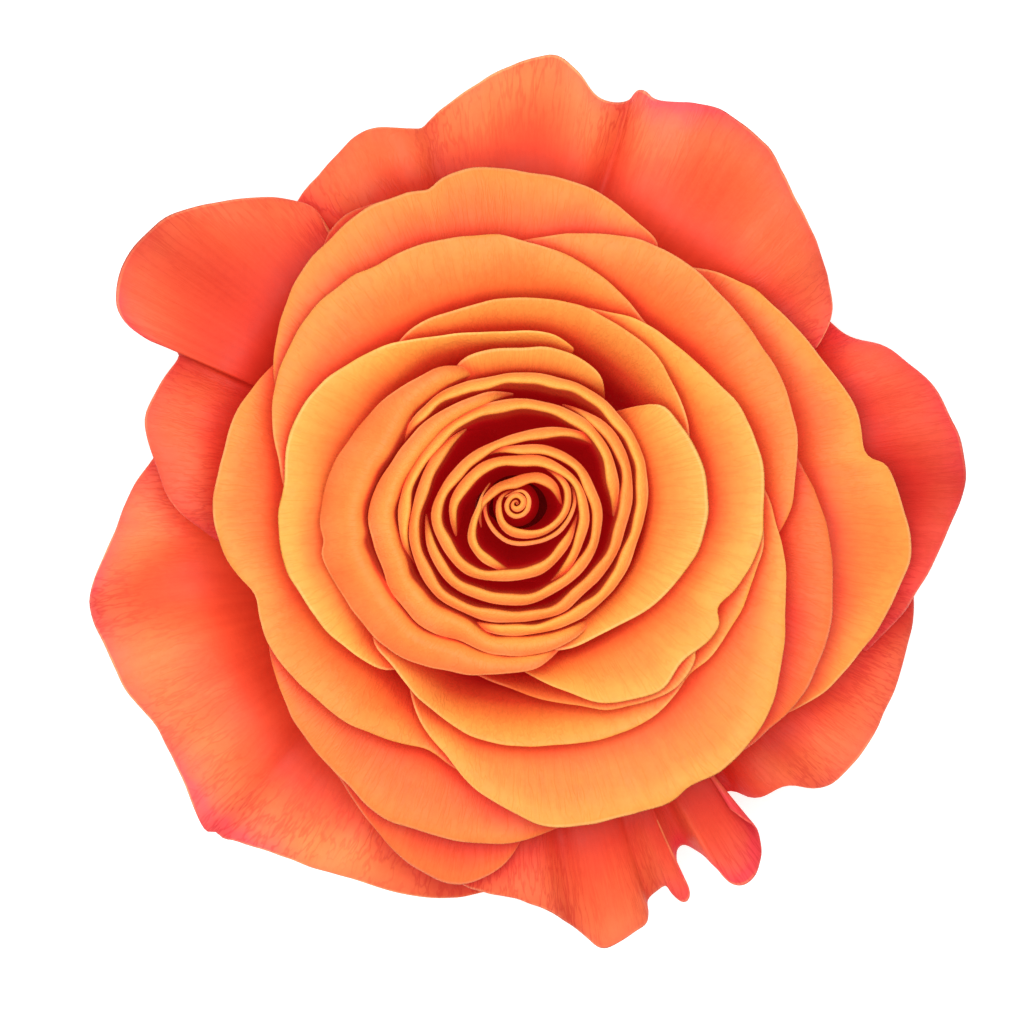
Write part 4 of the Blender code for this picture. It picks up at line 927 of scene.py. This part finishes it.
def petal_finish(name, look, colours, group):
    """Living petal: bright at its rim, partly its own colour and partly painted light, with painted shade deeper
    away from the rim, under other petals and in its folds, a painted glow in the folds, a painted highlight on its
    thin edge, and fine veins.
    """
    edge, face, deep, fold = colours
    reach, veins = group["reach"], group["veins"]
    tree = Tree(name)
    point = tree.object_point()
    uv = tree.petal_uv()
    from_rim, covered, tone, relief, pink, lip, below = (
        tree.attribute(key) for key in ("from_rim", "shelter", "tone", "relief", "pink", "lip", "below"))
    patch = tree.noise(point, 45.0, detail=2.0)
    cloud = tree.noise(point, 95.0, detail=2.0)
    mottle = tree.noise(point, 380.0, detail=3.0, roughness=0.6)
    grain = tree.noise(point, 1500.0, detail=2.0, roughness=0.65)
    streak = tree.noise(tree.scaled(uv, (60.0, 2.2, 1.0)), 1.0, detail=3.0, roughness=0.6)
    branch = tree.noise(tree.scaled(uv, (group["vein_count"], 7.0, 1.0)), 1.0, detail=2.0, roughness=0.7)
    vein = (1.0 - (branch - 0.5).size() * 16.0).clamped()
    near = 1.0 - (from_rim + (cloud - 0.5) * 8.0).smooth(2.0, 15.0)
    # Paler towards the rim: partly the petal's own paler edge, partly painted light on the band that faces the sky
    rim = 1.0 - (from_rim + (cloud - 0.5) * reach + (mottle - 0.5) * 0.3 * reach).smooth(0.05 * reach, reach)
    colour = tree.mix(rim, face, edge)
    # Painted shade down the outer slope of each lip
    colour = tree.mix(lip.smooth(0.25, 1.0) * 0.8, colour, PAINTED_LIP_SHADE)
    # Painted shade: the colour deepens away from the rim, where other petals hide the sky, and down the wall below
    # a lip's crest
    fade_shade = (from_rim + (cloud - 0.5) * 6.0).smooth(2.0, look.fade_shade_length / MM)
    cover_shade = (covered + (cloud - 0.5) * 0.12 + (mottle - 0.5) * 0.06).smooth(0.08, 0.58)
    cover_shade = cover_shade + (below + (mottle - 0.5) * 0.5).smooth(0.0, 1.0)
    colour = tree.mix((fade_shade * group["fade_shade_weight"] + cover_shade).clamped(), colour, deep)
    # Painted shade: deep red between the petals, where most of the sky is hidden
    colour = tree.mix(covered.smooth(0.5, 0.9), colour, fold)
    colour = tree.mix((pink * (0.55 + patch + (mottle - 0.5) * 0.8)).clamped() * 0.85, colour, PINK)
    # A painted highlight along the thin edge of each rim, standing in for light caught by the edge
    brink_highlight = (1.0 - (from_rim + (mottle - 0.5) * 0.35).smooth(0.08, 0.42)) * group["brink_highlight"]
    colour = tree.mix(brink_highlight * (cloud.smooth(0.35, 0.6)), colour, PAINTED_BRINK_HIGHLIGHT)
    # Streaks, mottles, grain and patches vary the petal's own colour; the crease heights add painted light on the
    # creases' ridges and painted shade in their valleys
    shade = (0.5 + (streak - 0.5) * veins + (mottle - 0.5) * 0.42 + (grain - 0.5) * 0.3
             + (patch - 0.5) * group["patches"] + relief * 0.18)
    colour = tree.mix(1.0, colour, tree.mix(shade.clamped(), (0.86, 0.66, 0.64), (1.12, 1.30, 1.32)),
                      blend="MULTIPLY")
    # Each petal's tone makes it paler or deeper all over: partly its own colour, partly painted light and shade,
    # where a listed tone pales a petal in the open or deepens one in shade
    colour = tree.mix(1.0, colour, tree.mix(0.5 + tone * 0.5, (0.92, 0.56, 0.72), (1.06, 1.36, 1.18)),
                      blend="MULTIPLY")
    # Veins darken the petal near its rim; the rest is painted shade, in the crease valleys, where other petals
    # hide the sky and away from the rim
    veins_and_painted_shade = (vein * near * patch.smooth(0.3, 0.6) * group["vein_depth"] - relief * 0.35
            + (covered.smooth(0.05, 0.5) + fade_shade * 0.6) * group["gloom_shade"])
    colour = tree.mix(veins_and_painted_shade.clamped(), colour, tree.mix(1.0, colour, (0.76, 0.44, 0.52), blend="MULTIPLY"))
    height = streak * 0.5 + vein * near * 0.5 + grain * 0.35 + mottle * 0.6
    # The emission is a painted glow in the folds, standing in for light that passes through the petals
    return tree.surface(
        Base_Color=colour, Roughness=(0.52 + (mottle - 0.5) * 0.3).clamped(),
        Normal=tree.bumps(height, 0.4, 0.00016),
        Emission_Color=tree.mix(covered.smooth(0.3, 0.95), (0.0, 0.0, 0.0), colour), Emission_Strength=look.painted_fold_glow,
        Specular_IOR_Level=0.16)


def green_finish(name, face, deep, crown=None):
    """Calyx tissue: satin green with darker patches and fine streaks, and a red crown if one is given."""
    tree = Tree(name)
    point = tree.object_point()
    cloud = tree.noise(point, 160.0, detail=3.0)
    streak = tree.noise(tree.scaled(point, (1.0, 1.0, 0.25)), 900.0, detail=2.0)
    colour = tree.mix((cloud * 0.6 + streak * 0.4).smooth(0.32, 0.66), deep, face)
    if crown:
        height = tree.out(tree.add("ShaderNodeSeparateXYZ", inputs={0: point}), 2)
        colour = tree.mix(height.smooth(*CROWN_FROM_TO), colour, crown)
    return tree.surface(Base_Color=colour, Roughness=(0.48 + streak * 0.2).clamped(),
                        Normal=tree.bumps(streak + cloud, 0.35, 0.0002),
                        Specular_IOR_Level=0.35)


class RoseLook(PropertyGroup):
    """Sizes and colours of the bloom that a user would change."""

    thickness: FloatProperty(
        name="Petal thickness", description="Thickness of every petal",
        default=0.00026, min=0.0002, max=0.0008, precision=5, subtype="DISTANCE", unit="LENGTH")
    lip_width: FloatProperty(
        name="Lip width", description="How far the rim of a wound petal rolls outwards",
        default=0.0014, min=0.0, max=0.004, precision=4, subtype="DISTANCE", unit="LENGTH")
    wave_height: FloatProperty(
        name="Wave height", description="Height of the waves shared by the outer petals",
        default=0.0013, min=0.0, max=0.003, precision=4, subtype="DISTANCE", unit="LENGTH")
    edge_ripple: FloatProperty(
        name="Edge ripple", description="How uneven the rims of the petals are",
        default=0.00012, min=0.0, max=0.001, precision=5, subtype="DISTANCE", unit="LENGTH")
    edge_roll: FloatProperty(
        name="Edge roll", description="How far the last edge of an open petal rolls back",
        default=0.00022, min=0.0, max=0.001, precision=5, subtype="DISTANCE", unit="LENGTH")
    column_width: FloatProperty(
        name="Mesh width", description="Width of a petal's quads along its rim, before smoothing",
        default=0.0015, min=0.0006, max=0.004, precision=4, subtype="DISTANCE", unit="LENGTH")
    rows: IntProperty(
        name="Mesh rows", description="Quads along a petal, before smoothing", default=24, min=12, max=60)
    # The paler band at a petal's rim, its reach and how much paler it is: partly the petal's own colour, partly
    # painted light
    rim_glow: FloatProperty(
        name="Rim glow", description="How far in from the rim a petal is at its brightest",
        default=0.0034, min=0.0005, max=0.02, precision=4, subtype="DISTANCE", unit="LENGTH")
    rim_lift: FloatProperty(
        name="Rim lift", description="How much paler a petal's rim is than its face",
        default=1.4, min=1.0, max=2.0)
    # Painted shade that deepens with distance from the rim
    fade_shade_length: FloatProperty(
        name="Fade length", description="How far from the rim a petal reaches its deeper colour",
        default=0.014, min=0.002, max=0.04, precision=4, subtype="DISTANCE", unit="LENGTH")
    # A painted glow in the folds, standing in for light that passes through the petals
    painted_fold_glow: FloatProperty(
        name="Ember", description="How brightly light that has passed through petals shows in their folds",
        default=0.08, min=0.0, max=1.0, subtype="FACTOR")
    inner_colour: FloatVectorProperty(
        name="Inner petals", description="Face colour of the wound petals", subtype="COLOR",
        default=(0.84, 0.225, 0.040), min=0.0, max=1.0)
    middle_colour: FloatVectorProperty(
        name="Middle petals", description="Face colour of the middle petals", subtype="COLOR",
        default=(0.82, 0.195, 0.036), min=0.0, max=1.0)
    guard_colour: FloatVectorProperty(
        name="Guard petals", description="Face colour of the outer petals", subtype="COLOR",
        default=(0.78, 0.122, 0.034), min=0.0, max=1.0)
    back_colour: FloatVectorProperty(
        name="Petal backs", description="Colour of the outer sides of the petals", subtype="COLOR",
        default=(0.84, 0.23, 0.075), min=0.0, max=1.0)
    # Painted shade where the next petal covers a petal, and away from the rim
    cover_shade_colour: FloatVectorProperty(
        name="Covered petals", description="Colour where the next petal begins to cover a petal",
        subtype="COLOR", default=(0.79, 0.072, 0.025), min=0.0, max=1.0)
    # Painted shade deep in the gaps between petals
    gap_shade_colour: FloatVectorProperty(
        name="Folds", description="Colour deep between the petals", subtype="COLOR",
        default=(0.78, 0.013, 0.020), min=0.0, max=1.0)
    calyx_colour: FloatVectorProperty(
        name="Calyx", description="Colour of the hip and sepals", subtype="COLOR",
        default=(0.16, 0.29, 0.06), min=0.0, max=1.0)


def finish_pair(slot, look):
    """The face and back finishes of a group of petals, made once."""
    names = ("%s_face" % slot, "%s_back" % slot)
    if names[0] in bpy.data.materials:
        return [bpy.data.materials[name] for name in names]
    group = dict(GROUPS[slot])
    group["reach"] *= look.rim_glow / MM
    face = tuple({"petal_inner": look.inner_colour, "petal_middle": look.middle_colour,
                  "petal_guard": look.guard_colour}[slot])
    back, deep, fold = (tuple(colour) for colour in (look.back_colour, look.cover_shade_colour, look.gap_shade_colour))
    # The rim colour is paler than the face: partly the petal's own colour, partly painted light
    edge = (face[0], face[1] * look.rim_lift, face[2] * look.rim_lift)
    # On the backs the painted shade masks lead to a paler claw colour, and sheltered backs of all but the guard
    # petals take the painted gap shade
    claw = (back[0], back[1] * 1.4, back[2] * 1.2)
    under = back if slot == "petal_guard" else fold
    return [petal_finish(names[0], look, (edge, face, deep, fold), group),
            petal_finish(names[1], look, (edge, back, claw, under), group)]


class ROSE_OT_wound_petals(Operator):
    """Make the wound petals, from the heart to the second ring"""

    bl_idname = "rose.wound_petals"
    bl_label = "Wound petals"

    def execute(self, context):
        look = context.scene.rose_look
        finishes = finish_pair("petal_inner", look)
        tree = bloom_tree(look)
        for name in WOUND:
            make_petal(name, look, tree, finishes)
        return {"FINISHED"}


class ROSE_OT_middle_petals(Operator):
    """Make the open petals between the rings and the guard petals"""

    bl_idname = "rose.middle_petals"
    bl_label = "Middle petals"

    def execute(self, context):
        look = context.scene.rose_look
        finishes = finish_pair("petal_middle", look)
        tree = bloom_tree(look)
        for name in MIDDLE:
            make_petal(name, look, tree, finishes)
        return {"FINISHED"}


class ROSE_OT_guard_petals(Operator):
    """Make the large outer petals"""

    bl_idname = "rose.guard_petals"
    bl_label = "Guard petals"

    def execute(self, context):
        look = context.scene.rose_look
        finishes = finish_pair("petal_guard", look)
        tree = bloom_tree(look)
        for name in GUARD:
            make_petal(name, look, tree, finishes)
        return {"FINISHED"}


def hip_piece():
    """The stub and hip, turned from a sphere onto their profile."""
    start_clean()
    bpy.ops.mesh.primitive_uv_sphere_add(segments=64, ring_count=72, radius=1.0)
    hip = bpy.context.active_object
    profile = np.array(HIP_PROFILE)
    length = np.concatenate([[0], np.cumsum(np.hypot(*np.diff(profile, axis=0).T))])
    for vertex in hip.data.vertices:
        share = (vertex.co.z + 1) / 2
        share = math.acos(1 - 2 * share) / math.pi
        radius = float(np.interp(share * length[-1], length, profile[:, 0]))
        height = float(np.interp(share * length[-1], length, profile[:, 1]))
        angle = math.atan2(vertex.co.y, vertex.co.x)
        ribs = 1 + 0.012 * math.cos(5 * angle + 0.7) + 0.006 * math.cos(13 * angle)
        if math.hypot(vertex.co.x, vertex.co.y) < 1e-5:
            radius = 0.0
        vertex.co = (radius * ribs * math.cos(angle) * MM, radius * ribs * math.sin(angle) * MM, height * MM)
    return hip


def sepal_piece(number):
    """One sepal: it leaves the hip's shoulder, arches out and comes down to a fine tip on the floor."""
    chance = np.random.default_rng(40 + number)
    direction = math.radians(360 * number / SEPAL_COUNT + SEPAL_TURN)
    rows, columns = 36, 12
    path = curve_through(SEPAL_PATH, rows + 1)
    v = np.linspace(0, 1, rows + 1)[:, None]
    across = np.linspace(-1, 1, columns + 1)[None]
    width = SEPAL_HALF_WIDTH * (0.75 + 0.5 * v) * np.maximum(1 - v, 0) ** 0.75 + 0.22
    # Fine teeth on both sides, most of them near the shoulder
    teeth = 1 + 0.10 * (1 - v) * np.sin(2 * math.pi * (9 * v + 0.3 * np.sign(across))) * across ** 4
    sideways = across * width * teeth + chance.uniform(-1.2, 1.2) * v ** 2
    height = path[:, 1:] + 0.8 * (1 - across ** 2) * (1 - v) - 0.4 * (1 - v) + 0.25 * np.sin(7 * v + across)
    height = np.maximum(height + 0 * across, SEPAL_THICKNESS / 2 + 0.05)
    radius = path[:, :1] + 0 * across
    grid = np.stack([radius * math.cos(direction) - sideways * math.sin(direction),
                     radius * math.sin(direction) + sideways * math.cos(direction), height], axis=2)
    piece = bend_grid("sepal_%d" % (number + 1), grid, {})
    apply_modifier(piece, "SOLIDIFY", thickness=SEPAL_THICKNESS * MM, offset=0.0)
    apply_modifier(piece, "SUBSURF", levels=1, render_levels=1)
    return piece


class ROSE_OT_calyx(Operator):
    """Make the hip with its five sepals, and give the stamens their finish"""

    bl_idname = "rose.calyx"
    bl_label = "Calyx and stamens"

    def execute(self, context):
        green = tuple(context.scene.rose_look.calyx_colour)
        shade = tuple(channel * 0.5 for channel in green)
        hip = hip_piece()
        sepals = [sepal_piece(number) for number in range(SEPAL_COUNT)]
        start_clean()
        for piece in (*sepals, hip):
            piece.select_set(True)
        context.view_layer.objects.active = hip
        bpy.ops.object.join()
        hip.name = "calyx_soft"
        hip.data.name = "calyx_soft"
        hip.data.materials.append(green_finish("calyx_tissue", green, shade, CROWN))
        dress(hip, ["calyx"])
        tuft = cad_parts["stamens_and_styles"]
        tuft.data.materials.clear()
        tuft.data.materials.append(green_finish("anthers", (0.8, 0.5, 0.1), (0.5, 0.25, 0.05)))
        return {"FINISHED"}


class ROSE_OT_studio(Operator):
    """Make the pale floor, the soft lights and the camera straight above"""

    bl_idname = "rose.studio"
    bl_label = "Studio"

    def execute(self, context):
        start_clean()
        bpy.ops.mesh.primitive_plane_add(size=3.0, location=(0, 0, 0))
        floor = bpy.context.active_object
        floor.name = "floor"
        bpy.ops.object.transform_apply(location=True, rotation=True, scale=True)
        tree = Tree("floor_paper")
        cloud = tree.noise(tree.object_point(), 6.0)
        floor.data.materials.append(tree.surface(
            Base_Color=tree.mix(cloud, (0.90, 0.90, 0.90), (0.94, 0.94, 0.94)),
            Roughness=0.9, Specular_IOR_Level=0.1, Emission_Color=(1.0, 1.0, 1.0), Emission_Strength=0.45))
        world = bpy.data.worlds.new("studio")
        world.use_nodes = True
        world.node_tree.nodes["Background"].inputs[0].default_value = (1.0, 1.0, 1.0, 1.0)
        world.node_tree.nodes["Background"].inputs[1].default_value = 0.36
        context.scene.world = world
        for name, place, size, power in (("overhead_softbox", (0.0, 0.0, 0.9), 0.7, 9.5),
                                         ("upper_left_softbox", (-0.7, 0.6, 0.8), 0.6, 2.4)):
            bpy.ops.object.light_add(type="AREA", location=place)
            lamp = bpy.context.active_object
            lamp.name = name
            lamp.data.shape = "DISK"
            lamp.data.size = size
            lamp.data.energy = power
            aim = -lamp.location.normalized()
            lamp.rotation_mode = "QUATERNION"
            lamp.rotation_quaternion = aim.to_track_quat("-Z", "Y")
        camera = bpy.data.cameras.new("camera")
        camera.type = "ORTHO"
        camera.ortho_scale = PIXEL * 1024 * MM
        camera.clip_start = 0.01
        camera.clip_end = 10.0
        eye = bpy.data.objects.new("camera", camera)
        context.scene.collection.objects.link(eye)
        eye.location = ((512 - CENTRE_PIXEL[0]) * PIXEL * MM, (CENTRE_PIXEL[1] - 512) * PIXEL * MM, 0.6)
        context.scene.camera = eye
        context.scene.view_settings.view_transform = "Standard"
        return {"FINISHED"}


class ROSE_PT_panel(Panel):
    """Lists the steps that make the bloom, with its sizes and colours"""

    bl_idname = "ROSE_PT_panel"
    bl_label = "Rose bloom"
    bl_space_type = "VIEW_3D"
    bl_region_type = "UI"
    bl_category = "Rose"

    def draw(self, context):
        for step in STEPS:
            self.layout.operator(step.bl_idname)
        for name in RoseLook.__annotations__:
            self.layout.prop(context.scene.rose_look, name)


STEPS = (ROSE_OT_wound_petals, ROSE_OT_middle_petals, ROSE_OT_guard_petals, ROSE_OT_calyx, ROSE_OT_studio)
CLASSES = (RoseLook, *STEPS, ROSE_PT_panel)


def register():
    """Register the classes and the bloom's settings."""
    for part in CLASSES:
        bpy.utils.register_class(part)
    bpy.types.Scene.rose_look = PointerProperty(type=RoseLook)


def unregister():
    """Take the settings and the classes away again."""
    del bpy.types.Scene.rose_look
    for part in reversed(CLASSES):
        bpy.utils.unregister_class(part)


def main():
    """Make the bloom and its studio."""
    register()
    bpy.ops.rose.wound_petals()
    bpy.ops.rose.middle_petals()
    bpy.ops.rose.guard_petals()
    bpy.ops.rose.calyx()
    bpy.ops.rose.studio()


if __name__ == "__main__":
    main()
